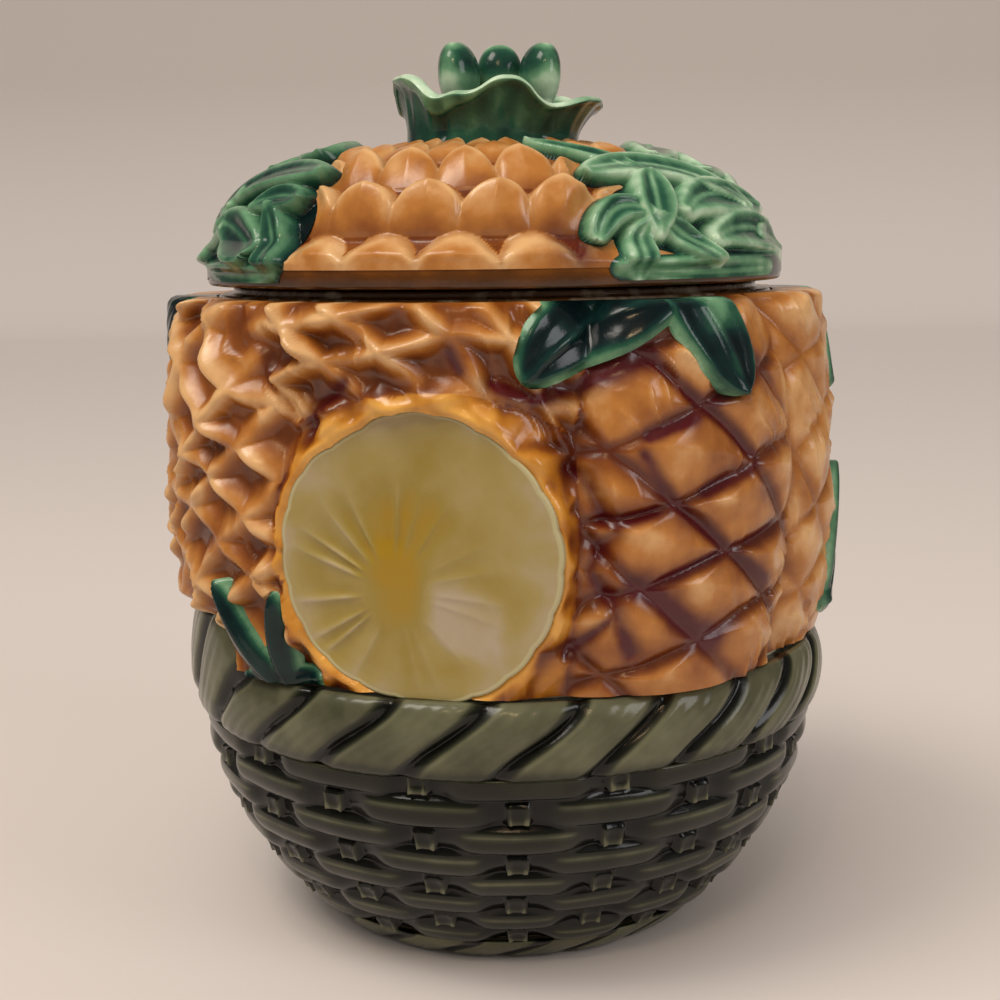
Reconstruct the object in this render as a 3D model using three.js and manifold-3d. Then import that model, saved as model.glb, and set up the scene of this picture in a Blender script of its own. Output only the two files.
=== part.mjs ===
// Pineapple jelly jar: a glazed earthenware jar with a lid that lifts off.
// A basket-shaped bowl carries a band of moulded pineapples, two cut slices and their leaves,
// and the domed lid carries more of them under a leafy crown that serves as its knob.
// Millimetres, +Z up, the front of the jar faces -Y, and the origin is the middle of its foot.

import * as THREE from 'three';
import { mergeVertices } from 'three/addons/utils/BufferGeometryUtils.js';
import Module from 'manifold-3d';

// Clearance left between pieces that touch
const GAP = 0.3;

// How finely round forms are cut
const ROUND_SIDES = 40;
const BASKET_RINGS = 6;
const WEAVE_COLUMNS_PER_STAKE = 4;
const BAND_RINGS = 4;
const ROPE_RINGS = 6;
const DOME_RINGS = 7;
const SECTOR_COLUMN_TURN = 7;
const SCALE_COLUMNS = 4;
const SCALE_RINGS = 4;
const EVEN_CUT_STEPS = 200;
const RELIEF_SIDES = 14;
const RELIEF_ROWS = 10;
const PETAL_SIDES = 12;
const PETAL_ROWS = 10;

// Basket bowl
const BASKET_FOOT_RADIUS = 29.3;
const BASKET_TOP_RADIUS = 47.2;
const BASKET_HEIGHT = 33;
const WEAVE_DEPTH = 2.2;
const WEAVE_STAKES = 22;
const WEAVE_ROWS = 8;
const WEAVE_FIRST_STAKE = 1.5;
const STRAND_SWELL = 0.4;
const STRAND_SINK = 1.4;
const STRAND_GROOVE = 0.6;
const FOOT_ROPE_HEIGHT = 4;
const FOOT_ROPE_SWELL = 0.7;
const FOOT_RING_WIDTH = 4.5;
const FOOT_RECESS = 1.2;

// Twisted rope between the basket and the fruit, which stands out over both
const ROPE_SWELL = 2;
const ROPE_RADIUS = BASKET_TOP_RADIUS + ROPE_SWELL;
const ROPE_HEIGHT = 10.7;

// Mouth and the seat that the lid rests on
const MOUTH_RADIUS = 37;
const MOUTH_DEPTH = 6;
const SEAT_WIDTH = 2.4;
const SEAT_RISE = 1;
const RIM_WIDTH = 4.6;
const RIM_RADIUS = MOUTH_RADIUS + RIM_WIDTH;
const MOUTH_SHIFT = -1.2;

// Fruit band and the vessel wall behind it. BAND_TURN is the turn round the jar, in degrees, that
// is as long as the band is high.
const BAND_HEIGHT = 51;
const BAND_TURN = 59.4;
const WALL = 3.4;
const FLOOR = 4.5;
const WALL_BELLY = 1.5;
const RELIEF_ROOT = 8;

// Lid, whose edge hangs over the rim of the jar
const LID_OVERHANG = 1.4;
const LID_RADIUS = RIM_RADIUS + LID_OVERHANG;
const LID_EDGE = 3.4;
const LID_WALL = 3.2;
const LID_LEDGE = 1;
const DOME_RADIUS = LID_RADIUS - LID_LEDGE;
const DOME_HEIGHT = 18.6;
const DOME_SQUARENESS = 2.4;
const DOME_RELIEF = 3;
// Pineapple scales on the dome: turn of one scale, and rows of them from the shoulder to the crown.
// The shares are of one row, and a scale's foot is a share of its thickness at the top.
const SCALE_TURN = 13.8;
const SCALE_FIRST_TURN = -27;
const SCALE_ROWS = 4.5;
const SCALE_FIRST_TOP = 0.5;
const SCALE_ARCH = 0.42;
const SCALE_OVERLAP = 0.25;
const SCALE_FOOT = 0.3;
const SCALE_CREST_ROWS = 2.75;
const SCALE_CREST = 0.55;
const SECTOR_EDGE_SHARE = 0.55;
const SECTOR_EDGE_POWER = 6;
const FLANGE_CLEARANCE = 0.8;
const FLANGE_DEPTH = 5.2;
const FLANGE_WALL = 3;

// Crown on the lid
const CROWN_FOOT_RADIUS = 13;
const CROWN_RIM_RADIUS = 15.4;
const CROWN_HEIGHT = 7.9;
const CROWN_WALL = 2.4;
const CROWN_WAVE = 1.8;
const CROWN_FLARE = 0.4;
const CROWN_STEP_SHARE = 0.25;
const CROWN_LOBES = 5;
const CROWN_LOBE_TURN = 8;
const CROWN_LEAN = 1.2;
const PETAL_TURNS = [250, 180, 112];
const PETAL_HEIGHT = 12.1;
const PETAL_HALF_WIDTH = 3.9;
const PETAL_HALF_THICKNESS = 2.5;
const PETAL_CIRCLE_RADIUS = (CROWN_RIM_RADIUS - CROWN_WALL) / 2;

// Cut slices: the flat face of the fruit, set a little below the rind around it
const SLICE_RADIUS = 19.2;
const SLICE_RISE = 1.1;
const SLICE_THICKNESS = 3;
const SLICE_TURN = -17;
const SLICE_ASIDE = 2;
const SLICE_SHARE = 0.355;

// Moulded fruit of one half of the band. turn is the angle round the jar from the front and lean
// the tilt of the fruit's length from upright, both in degrees. share, which is how high its middle
// lies, length and width are shares of the band's height, and rise, over the vessel wall, is a share
// of FRUIT_RISE. The other half of the band repeats them.
const FRUITS = [
  { name: 'half_pineapple', turn: -13, share: 0.34, lean: 0, length: 1.04, width: 1.04, rise: 0.7 },
  { name: 'tall_pineapple', turn: 34, share: 0.4, lean: 10, length: 1.412, width: 0.902, rise: 0.97 },
  { name: 'leaning_pineapple', turn: -60, share: 0.44, lean: -12, length: 1.334, width: 0.98, rise: 1.1 },
  { name: 'side_pineapple', turn: 79, share: 0.55, lean: 4, length: 1.53, width: 0.98, rise: 0.98 },
  { name: 'upper_pineapple', turn: -20, share: 0.88, lean: -74, length: 1.45, width: 0.666, rise: 0.73 },
];
const FRUIT_RISE = 6;
const FRUIT_SQUARENESS = 2.8;

// Leaves of one half of the band: each spray is a few blades fused at their root, and lies over
// the fruit by the leaf's thickness.
const SPRAYS = [
  {
    name: 'crown_leaves',
    blades: [
      { turn: 15.5, share: 0.895, lean: 72, length: 0.55, width: 0.25 },
      { turn: 34.5, share: 0.88, lean: -36, length: 0.47, width: 0.306 },
    ],
  },
  {
    name: 'side_leaves',
    blades: [
      { turn: -84, share: 0.88, lean: 24, length: 0.352, width: 0.212 },
      { turn: -78, share: 0.88, lean: -48, length: 0.314, width: 0.18 },
    ],
  },
  {
    name: 'leaf_tuft',
    blades: [
      { turn: -51, share: 0.15, lean: -60, length: 0.392, width: 0.172 },
      { turn: -42, share: 0.13, lean: 6, length: 0.298, width: 0.15 },
    ],
  },
  {
    name: 'low_leaves',
    blades: [
      { turn: 80, share: 0.28, lean: 9, length: 0.412, width: 0.196 },
      { turn: 84, share: 0.19, lean: 42, length: 0.352, width: 0.18 },
    ],
  },
];
const LEAF_THICKNESS = 1.3;
const LEAF_SQUARENESS = 2.2;
const LEAF_TAPER = 0.5;

// Sectors of the lid's relief, in degrees round the jar from the front. thickness is a share of
// DOME_RELIEF: the leaves stand out over the fruit.
const LID_SECTORS = [
  { name: 'lid_pineapple_front', glaze: 'fruit', from: -42, to: 21, thickness: 1 },
  { name: 'lid_leaves_right', glaze: 'leaf', from: 21, to: 108, thickness: 1.27 },
  { name: 'lid_pineapple_back', glaze: 'fruit', from: 108, to: 232, thickness: 1 },
  { name: 'lid_leaves_left', glaze: 'leaf', from: 232, to: 318, thickness: 1.4 },
];

// Heights that follow from the sizes above
const ROPE_FOOT = BASKET_HEIGHT + GAP;
const ROPE_TOP = ROPE_FOOT + ROPE_HEIGHT;
const BAND_FOOT = ROPE_TOP + GAP;
const RIM_HEIGHT = BAND_FOOT + BAND_HEIGHT;
const SEAT_HEIGHT = RIM_HEIGHT + SEAT_RISE;
const LID_FOOT = SEAT_HEIGHT + GAP;
const LID_SHOULDER = LID_FOOT + LID_EDGE;
const CROWN_FOOT = LID_SHOULDER + DOME_HEIGHT - DOME_RELIEF + GAP;

// Glaze colours
const GLAZE = {
  inside: { color: 0xd9c9a4, roughness: 0.25 },
  basket: { color: 0x5a5844, roughness: 0.3 },
  rope: { color: 0x625f4a, roughness: 0.3 },
  fruit: { color: 0xb5763a, roughness: 0.25 },
  rind: { color: 0xc8863a, roughness: 0.25 },
  slice: { color: 0xcdb65c, roughness: 0.25 },
  leaf: { color: 0x2f5a45, roughness: 0.2 },
  lid: { color: 0xa8662c, roughness: 0.25 },
};

const wasm = await Module();
wasm.setup();

// Solid of a closed geometry whose points are merged first.
function solidOf(geometry) {
  const bare = geometry.clone();
  bare.deleteAttribute('normal');
  bare.deleteAttribute('uv');
  const merged = mergeVertices(bare, 1e-4);
  return new wasm.Manifold(
    new wasm.Mesh({
      numProp: 3,
      vertProperties: new Float32Array(merged.attributes.position.array),
      triVerts: new Uint32Array(merged.index.array),
    }),
  );
}

// Geometry of a solid.
function geometryOf(solid) {
  const mesh = solid.getMesh();
  const geometry = new THREE.BufferGeometry();
  geometry.setAttribute('position', new THREE.BufferAttribute(new Float32Array(mesh.vertProperties), 3));
  geometry.setIndex(new THREE.BufferAttribute(new Uint32Array(mesh.triVerts), 1));
  geometry.computeVertexNormals();
  return geometry;
}

// Sideways set of the ware at a height: the mouth sits a little off the foot, as on cast ware.
function sidewaysAt(height) {
  const middle = BAND_FOOT + BAND_HEIGHT / 2;
  return MOUTH_SHIFT * THREE.MathUtils.smoothstep(height, middle, RIM_HEIGHT);
}

// Point at an angle round the jar in degrees, a distance from its axis and a height.
function pointAt(turn, radius, height) {
  const angle = THREE.MathUtils.degToRad(turn);
  return new THREE.Vector3(
    radius * Math.sin(angle) + sidewaysAt(height),
    -radius * Math.cos(angle),
    height,
  );
}

// Moves every point of a geometry by a rule.
function reshape(geometry, rule) {
  const position = geometry.attributes.position;
  const point = new THREE.Vector3();
  for (let i = 0; i < position.count; i += 1) {
    point.fromBufferAttribute(position, i);
    const moved = rule(point);
    position.setXYZ(i, moved.x, moved.y, moved.z);
  }
  return geometry;
}

// Closed skin of rings that join on round both ways, whose points a rule gives.
function closedSkin(rings, columns, pointOf) {
  const corners = (ring, column) => (ring % rings) * columns + (column % columns);
  const points = [];
  const faces = [];
  for (let ring = 0; ring < rings; ring += 1) {
    for (let column = 0; column < columns; column += 1) {
      points.push(...pointOf(ring, column).toArray());
      const [a, b] = [corners(ring, column), corners(ring, column + 1)];
      const [c, d] = [corners(ring + 1, column + 1), corners(ring + 1, column)];
      faces.push(a, b, c, a, c, d);
    }
  }
  const skin = new THREE.BufferGeometry();
  skin.setAttribute('position', new THREE.Float32BufferAttribute(points, 3));
  skin.setIndex(faces);
  skin.computeVertexNormals();
  return skin;
}

// Turned body from [radius, height] points that start and end on the axis, or close on themselves.
function turned(outline) {
  const points = outline.map(([radius, height]) => new THREE.Vector2(radius, height));
  const lathe = new THREE.LatheGeometry(points, ROUND_SIDES);
  // The outline is turned about Y, which then becomes the height.
  return reshape(lathe, (p) => new THREE.Vector3(p.x + sidewaysAt(p.y), -p.z, p.y));
}

// Even steps from one value to another, both ends included.
function steps(from, to, count) {
  return Array.from({ length: count + 1 }, (_, i) => from + ((to - from) * i) / count);
}

// Values from one end to another that cut a line of [radius, height] points into equal lengths.
function evenCuts(lineAt, from, to, count) {
  const values = steps(from, to, EVEN_CUT_STEPS);
  const points = values.map((value) => new THREE.Vector2(...lineAt(value)));
  const lengths = [0];
  for (let i = 1; i < points.length; i += 1) {
    lengths.push(lengths[i - 1] + points[i].distanceTo(points[i - 1]));
  }
  return steps(0, 1, count).map((share) => {
    const length = share * lengths[EVEN_CUT_STEPS];
    const before = Math.min(lengths.filter((each) => each <= length).length, EVEN_CUT_STEPS) - 1;
    const rest = (length - lengths[before]) / (lengths[before + 1] - lengths[before]);
    return THREE.MathUtils.lerp(values[before], values[before + 1], rest);
  });
}

// Outer radius of the basket: a parabola that rises from the foot and stands upright at the rope.
function basketRadius(height) {
  const open = 1 - height / (BASKET_HEIGHT + 2);
  return BASKET_FOOT_RADIUS + (BASKET_TOP_RADIUS - BASKET_FOOT_RADIUS) * (1 - open * open);
}

// Outer radius of the vessel wall, inside the weave and behind the fruit.
function wallRadius(height) {
  if (height <= BASKET_HEIGHT) {
    return basketRadius(height) - WEAVE_DEPTH - GAP;
  }
  const share = (height - BASKET_HEIGHT) / (RIM_HEIGHT - BASKET_HEIGHT);
  const straight = THREE.MathUtils.lerp(wallRadius(BASKET_HEIGHT), RIM_RADIUS, share);
  return straight + WALL_BELLY * Math.sin(Math.PI * Math.min(share, 1));
}

// Heights at which the vessel's wall has a ring of points.
function wallHeights(from, to) {
  const rings = [...steps(0, BASKET_HEIGHT, BASKET_RINGS), ...steps(BAND_FOOT, RIM_HEIGHT, BAND_RINGS)];
  return [from, ...rings.filter((height) => height > from + GAP && height < to - GAP), to];
}

// Wall line, moved out by a distance, between two heights.
function wallLine(from, to, out) {
  return wallHeights(from, to).map((height) => [wallRadius(height) + out, height]);
}

// The vessel: foot ring, floor, wall, mouth and the raised seat for the lid.
function vessel() {
  const footInner = wallRadius(0) - FOOT_RING_WIDTH;
  const neck = RIM_HEIGHT - MOUTH_DEPTH;
  const floorTop = FOOT_RECESS + FLOOR;
  const inside = wallLine(floorTop, neck - MOUTH_DEPTH, -WALL).reverse();
  return turned([
    [0, FOOT_RECESS],
    [footInner - FOOT_RECESS, FOOT_RECESS],
    [footInner, 0],
    ...wallLine(0, RIM_HEIGHT, 0),
    [MOUTH_RADIUS + SEAT_WIDTH, RIM_HEIGHT],
    [MOUTH_RADIUS + SEAT_WIDTH, SEAT_HEIGHT],
    [MOUTH_RADIUS, SEAT_HEIGHT],
    [MOUTH_RADIUS, neck],
    ...inside,
    [inside[inside.length - 1][0] - FLOOR, floorTop],
    [0, floorTop],
  ]);
}

// How far the weave stands out at a ring and a column. Rings lie in turn along a row of strands and
// between two rows. A strand passes in front of every second stake, and sinks on both sides of the
// next one.
function weaveOut(ring, column) {
  if (ring % 2 === 1) {
    return -STRAND_GROOVE;
  }
  const row = ring / 2;
  const fromStake = column % WEAVE_COLUMNS_PER_STAKE;
  const stake = (column - fromStake) / WEAVE_COLUMNS_PER_STAKE;
  const nextStake = stake + 1;
  const sinks = (which) => (which + row) % 2 === 1;
  if (fromStake === 0) {
    return sinks(stake) ? 0 : STRAND_SWELL;
  }
  const besideStake = fromStake === 1 && sinks(stake);
  const besideNext = fromStake === WEAVE_COLUMNS_PER_STAKE - 1 && sinks(nextStake);
  return besideStake || besideNext ? -STRAND_SINK : STRAND_SWELL;
}

// Woven skin round the bowl.
function weave() {
  const foot = FOOT_ROPE_HEIGHT + 2 * GAP;
  const lineAt = (height) => [basketRadius(height), height];
  const outside = evenCuts(lineAt, foot, BASKET_HEIGHT, 2 * WEAVE_ROWS);
  const inside = wallLine(foot, BASKET_HEIGHT, GAP).reverse();
  const columns = WEAVE_STAKES * WEAVE_COLUMNS_PER_STAKE;
  const rings = [...outside.map(lineAt), ...inside];
  return closedSkin(rings.length, columns, (ring, column) => {
    const [radius, height] = rings[ring];
    const out = ring < outside.length ? weaveOut(ring, column) : 0;
    return pointAt(WEAVE_FIRST_STAKE + (column * 360) / columns, radius + out, height);
  });
}

// Ring with a flat inner side on the wall and a rounded outer side.
function ropeRing(foot, top, radiusAt, swell) {
  const outside = steps(0, Math.PI, ROPE_RINGS).map((angle) => {
    const height = foot + ((top - foot) * (1 - Math.cos(angle))) / 2;
    return [radiusAt(height) + swell * Math.sin(angle), height];
  });
  const inside = wallLine(foot, top, GAP).reverse();
  return turned([...outside, ...inside, outside[0]]);
}

// Small rope round the foot.
function footRope() {
  const shoulderAt = (height) => basketRadius(height) - FOOT_ROPE_SWELL;
  return ropeRing(GAP, FOOT_ROPE_HEIGHT + GAP, shoulderAt, FOOT_ROPE_SWELL);
}

// Thick rope on top of the basket.
function rimRope() {
  const shoulder = (wallRadius(ROPE_FOOT) + ROPE_RADIUS) / 2;
  return ropeRing(ROPE_FOOT, ROPE_TOP, () => shoulder, ROPE_RADIUS - shoulder);
}

// Unit superellipsoid: a sphere whose sides are squared as the exponent grows.
function superSphere(squareness) {
  const sphere = new THREE.SphereGeometry(1, RELIEF_SIDES, RELIEF_ROWS);
  return reshape(sphere, (p) => {
    const sum = p.toArray().reduce((total, side) => total + Math.abs(side) ** squareness, 0);
    return p.multiplyScalar(sum ** (-1 / squareness));
  });
}

// Height in millimetres of a share of the fruit band.
function bandHeight(share) {
  return BAND_FOOT + BAND_HEIGHT * share;
}

// Moulded form bent round the wall: its length and width follow the wall, and its thickness
// stands out from a root inside the wall. spare, in millimetres, makes it larger all round, to cut
// its seat.
function moulded(form, squareness, taper, spare) {
  const middle = bandHeight(form.share);
  const wall = wallRadius(middle);
  const lean = THREE.MathUtils.degToRad(form.lean);
  const halfLength = form.length / 2 + spare / BAND_HEIGHT;
  const halfWidth = form.width / 2 + spare / BAND_HEIGHT;
  const depth = RELIEF_ROOT + form.rise * FRUIT_RISE + spare;
  const shape = reshape(superSphere(squareness), (p) => {
    const narrow = 1 - taper * p.y * p.y;
    const along = halfLength * p.y;
    const across = halfWidth * p.x * narrow;
    const up = along * Math.cos(lean) - across * Math.sin(lean);
    const aside = along * Math.sin(lean) + across * Math.cos(lean);
    const turn = form.turn + aside * BAND_TURN;
    return pointAt(turn, wall - RELIEF_ROOT - depth * p.z, middle + up * BAND_HEIGHT);
  });
  return solidOf(mirrorFaces(shape));
}

// Turns every face over, after a mapping that reverses their order.
function mirrorFaces(geometry) {
  const order = geometry.index.array;
  for (let i = 0; i < order.length; i += 3) {
    const held = order[i];
    order[i] = order[i + 1];
    order[i + 1] = held;
  }
  return geometry;
}

// Space of the fruit band: outside the wall, over the rope and under the rim.
function bandSpace() {
  const reach = ROPE_RADIUS * 2;
  const top = RIM_HEIGHT - GAP;
  const inside = wallLine(BAND_FOOT, top, GAP).reverse();
  return solidOf(turned([[reach, BAND_FOOT], [reach, top], ...inside, [reach, BAND_FOOT]]));
}

// Disc that faces outwards, from one distance to another, to stand for a cut slice or its seat.
function sliceDisc(radius, from, to, halfTurn) {
  const disc = new THREE.CylinderGeometry(radius, radius, to - from, ROUND_SIDES);
  const turn = SLICE_TURN + halfTurn;
  const angle = THREE.MathUtils.degToRad(turn);
  const middle = bandHeight(SLICE_SHARE);
  disc.rotateX(Math.PI / 2);
  disc.translate(SLICE_ASIDE, 0, (from + to) / 2);
  return solidOf(
    reshape(disc, (p) => new THREE.Vector3(
      p.z * Math.sin(angle) + p.x * Math.cos(angle) + sidewaysAt(middle + p.y),
      -p.z * Math.cos(angle) + p.x * Math.sin(angle),
      middle + p.y,
    )),
  );
}

// One fruit of the band, half a turn round or not.
function fruitSolid(fruit, halfTurn, spare) {
  return moulded({ ...fruit, turn: fruit.turn + halfTurn }, FRUIT_SQUARENESS, 0, spare);
}

// Outline of a leaf spray, cut straight through the band: its blades joined into one body.
function sprayOutline(spray, halfTurn, spare) {
  const blades = spray.blades.map((blade) => {
    const deep = { ...blade, turn: blade.turn + halfTurn, rise: ROPE_RADIUS / FRUIT_RISE };
    return moulded(deep, LEAF_SQUARENESS, LEAF_TAPER, spare);
  });
  return blades.reduce((whole, blade) => whole.add(blade));
}

// Largest body of a solid: the crumbs that a leaf cuts off at the edge of a fruit are left out.
function largestBody(solid) {
  return solid.decompose().reduce((best, body) => (body.volume() > best.volume() ? body : best));
}

// Leaf spray with the seat that it takes out of whatever it lies on.
function leafPiece(spray, [place, halfTurn], leafSkin) {
  return {
    name: `${spray.name}_${place}`,
    glaze: GLAZE.leaf,
    body: sprayOutline(spray, halfTurn, 0).intersect(leafSkin),
    seat: sprayOutline(spray, halfTurn, GAP),
  };
}

// Cut slice with its seat, which is open outwards.
function slicePiece([place, halfTurn]) {
  const face = wallRadius(bandHeight(SLICE_SHARE)) + SLICE_RISE;
  const back = face - SLICE_THICKNESS;
  return {
    name: `pineapple_slice_${place}`,
    glaze: GLAZE.slice,
    body: sliceDisc(SLICE_RADIUS, back, face, halfTurn),
    seat: sliceDisc(SLICE_RADIUS + GAP, back - GAP, ROPE_RADIUS * 2, halfTurn),
  };
}

// Fruit with its seat.
function fruitPiece(fruit, [place, halfTurn]) {
  return {
    name: `${fruit.name}_${place}`,
    glaze: fruit.name === 'half_pineapple' ? GLAZE.rind : GLAZE.fruit,
    body: fruitSolid(fruit, halfTurn, 0),
    seat: fruitSolid(fruit, halfTurn, GAP),
  };
}

// Everything in the fruit band, in the order in which the clay lies: leaves over slices over
// fruit. Each piece is cut back by those that lie over it, which leaves the clearance.
function fruitBand() {
  const halves = [['front', 0], ['back', 180]];
  const leafSkin = halves
    .flatMap(([, halfTurn]) => FRUITS.map((fruit) => fruitSolid(fruit, halfTurn, LEAF_THICKNESS)))
    .reduce((whole, fruit) => whole.add(fruit));
  const pieces = [
    ...halves.flatMap((half) => SPRAYS.map((spray) => leafPiece(spray, half, leafSkin))),
    ...halves.map(slicePiece),
    ...halves.flatMap((half) => FRUITS.map((fruit) => fruitPiece(fruit, half))),
  ];
  const space = bandSpace();
  pieces.forEach((piece, i) => {
    const whole = piece.body.intersect(space);
    const cut = pieces.slice(0, i).reduce((rest, other) => rest.subtract(other.seat), whole);
    piece.geometry = geometryOf(largestBody(cut));
  });
  return pieces;
}

// Dome of the lid at an angle up its curve, 0 at the shoulder and 90 at the top, moved in or out.
function domePoint(climb, out) {
  const angle = THREE.MathUtils.degToRad(climb);
  const power = 2 / DOME_SQUARENESS;
  return [
    (DOME_RADIUS + out) * Math.cos(angle) ** power,
    LID_SHOULDER + (DOME_HEIGHT + out) * Math.sin(angle) ** power,
  ];
}

// Line over the dome between two angles of climb.
function domeLine(from, to, out, count) {
  return steps(from, to, count).map((climb) => domePoint(climb, out));
}

// Lid: rim, flange that drops into the mouth, and the dome under the relief.
function lidShell() {
  const flange = MOUTH_RADIUS - FLANGE_CLEARANCE;
  const flangeFoot = LID_FOOT - FLANGE_DEPTH;
  const outside = domeLine(0, 90, -DOME_RELIEF, DOME_RINGS);
  const hollow = domeLine(0, 90, -DOME_RELIEF - LID_WALL, DOME_RINGS);
  const inside = hollow.filter(([radius]) => radius < flange - FLANGE_WALL - GAP);
  outside[outside.length - 1][0] = 0;
  inside[inside.length - 1][0] = 0;
  return turned([
    ...inside.reverse(),
    [flange - FLANGE_WALL, LID_SHOULDER - LID_EDGE / 2],
    [flange - FLANGE_WALL, flangeFoot],
    [flange, flangeFoot],
    [flange, LID_FOOT],
    [LID_RADIUS, LID_FOOT],
    [LID_RADIUS, LID_SHOULDER],
    ...outside,
  ]);
}

// Thickness of the pineapple scales, as a share of the full relief, at a turn and a number of rows up
// the dome. A scale climbs to an arched top and drops off behind it, each row lies in front of the
// next, and those near the crown are lower.
function scaleShare(turn, rowsUp) {
  const heights = steps(0, Math.ceil(SCALE_ROWS), Math.ceil(SCALE_ROWS)).map((row) => {
    const shift = row % 2 === 0 ? 0.5 : 0;
    const cell = (turn - SCALE_FIRST_TURN) / SCALE_TURN - shift;
    const beside = 2 * Math.abs(cell - Math.round(cell));
    const apex = SCALE_FIRST_TOP + row;
    const top = apex - SCALE_ARCH * beside ** 2;
    const foot = apex - 1 - SCALE_OVERLAP;
    if (rowsUp < foot || rowsUp > top + SCALE_OVERLAP) {
      return 0;
    }
    const climb = Math.min((rowsUp - foot) / (top - foot), 1);
    const behind = Math.max((rowsUp - top) / SCALE_OVERLAP, 0);
    return THREE.MathUtils.lerp(SCALE_FOOT, 1, climb * (1 - behind));
  });
  const crest = THREE.MathUtils.smoothstep(rowsUp, SCALE_CREST_ROWS, SCALE_CREST_ROWS + 1);
  return Math.max(SCALE_FOOT, ...heights) * THREE.MathUtils.lerp(1, SCALE_CREST, crest);
}

// Relief on one sector of the lid: a skin with rounded sides, of even thickness or with scales.
function lidSector(sector) {
  const scaled = sector.glaze === 'fruit';
  const columnTurn = scaled ? SCALE_TURN / SCALE_COLUMNS : SECTOR_COLUMN_TURN;
  const columns = Math.round((sector.to - sector.from) / columnTurn);
  const rings = scaled ? Math.round(SCALE_ROWS * SCALE_RINGS) : DOME_RINGS;
  const topRadius = CROWN_FOOT_RADIUS + GAP;
  const gapTurn = THREE.MathUtils.radToDeg(GAP / 2 / topRadius);
  const topCosine = (topRadius / (DOME_RADIUS - DOME_RELIEF)) ** (DOME_SQUARENESS / 2);
  const topClimb = THREE.MathUtils.radToDeg(Math.acos(topCosine));
  const climbs = evenCuts((climb) => domePoint(climb, 0), 0, topClimb, rings);
  const skin = new THREE.BoxGeometry(1, 1, 1, columns, rings, 1);
  skin.translate(0.5, 0.5, 0.5);
  return reshape(skin, (p) => {
    const edge = 1 - (2 * p.x - 1) ** SECTOR_EDGE_POWER;
    const turn = THREE.MathUtils.lerp(sector.from + gapTurn, sector.to - gapTurn, p.x);
    const full = DOME_RELIEF * sector.thickness - GAP;
    const relief = scaled ? scaleShare(turn, p.y * SCALE_ROWS) : 1;
    const thick = full * relief * THREE.MathUtils.lerp(SECTOR_EDGE_SHARE, 1, edge);
    const climb = climbs[Math.round(p.y * rings)];
    const [radius, height] = domePoint(climb, GAP + p.z * thick - DOME_RELIEF);
    return pointAt(turn, radius, Math.max(height, LID_SHOULDER + GAP));
  });
}

// Sideways set of the crown at a height: it leans a little as it rises from the lid.
function crownSidewaysAt(height) {
  const share = THREE.MathUtils.clamp((height - CROWN_FOOT) / CROWN_HEIGHT, 0, 1);
  return MOUTH_SHIFT + CROWN_LEAN * share * share;
}

// Cup of the crown: a flared wall with a wavy rim over a solid foot.
function crownCup() {
  const floor = CROWN_FOOT + CROWN_HEIGHT / 2;
  const top = CROWN_FOOT + CROWN_HEIGHT;
  const step = CROWN_HEIGHT * CROWN_STEP_SHARE;
  const line = [
    [0, CROWN_FOOT],
    [CROWN_FOOT_RADIUS, CROWN_FOOT],
    [CROWN_FOOT_RADIUS, CROWN_FOOT + step],
    [CROWN_RIM_RADIUS - CROWN_WAVE, top - step],
    [CROWN_RIM_RADIUS, top],
    [CROWN_RIM_RADIUS - CROWN_WALL, top],
    [CROWN_RIM_RADIUS - CROWN_WALL - CROWN_WAVE, floor],
    [0, floor],
  ];
  const points = line.map(([radius, height]) => new THREE.Vector2(radius, height));
  return reshape(new THREE.LatheGeometry(points, ROUND_SIDES), (p) => {
    const turn = Math.atan2(p.x, p.z) - THREE.MathUtils.degToRad(CROWN_LOBE_TURN);
    const share = THREE.MathUtils.clamp((p.y - floor) / (top - floor), 0, 1);
    const wave = Math.cos(CROWN_LOBES * turn) * CROWN_WAVE * share;
    const grow = 1 + (wave * CROWN_FLARE) / CROWN_RIM_RADIUS;
    return new THREE.Vector3(p.x * grow + crownSidewaysAt(p.y), -p.z * grow, p.y + wave);
  });
}

// Inner petal of the crown: a plump upright leaf on a circle inside the cup.
function crownPetal(turn) {
  const foot = CROWN_FOOT + CROWN_HEIGHT / 2 + GAP;
  const angle = THREE.MathUtils.degToRad(turn);
  const petal = new THREE.SphereGeometry(1, PETAL_SIDES, PETAL_ROWS);
  petal.scale(PETAL_HALF_WIDTH, PETAL_HALF_THICKNESS, PETAL_HEIGHT / 2);
  petal.rotateZ(angle);
  petal.translate(
    PETAL_CIRCLE_RADIUS * Math.sin(angle) + MOUTH_SHIFT + CROWN_LEAN,
    -PETAL_CIRCLE_RADIUS * Math.cos(angle),
    foot + PETAL_HEIGHT / 2,
  );
  return petal;
}

// Adds a named piece to a group.
function add(group, name, geometry, glaze) {
  const mesh = new THREE.Mesh(geometry, new THREE.MeshStandardMaterial(glaze));
  mesh.name = name;
  group.add(mesh);
}

const jar = new THREE.Group();
add(jar, 'vessel', vessel(), GLAZE.inside);
add(jar, 'basket_weave', weave(), GLAZE.basket);
add(jar, 'foot_rope', footRope(), GLAZE.rope);
add(jar, 'rim_rope', rimRope(), GLAZE.rope);
for (const piece of fruitBand()) {
  add(jar, piece.name, piece.geometry, piece.glaze);
}

const lid = new THREE.Group();
add(lid, 'lid_shell', lidShell(), GLAZE.lid);
for (const sector of LID_SECTORS) {
  add(lid, sector.name, lidSector(sector), GLAZE[sector.glaze]);
}
add(lid, 'crown_cup', crownCup(), GLAZE.leaf);
PETAL_TURNS.forEach((turn, i) => add(lid, `crown_petal_${i + 1}`, crownPetal(turn), GLAZE.leaf));

const pineappleJellyJar = new THREE.Group();
pineappleJellyJar.add(jar, lid);

export default pineappleJellyJar;
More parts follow.
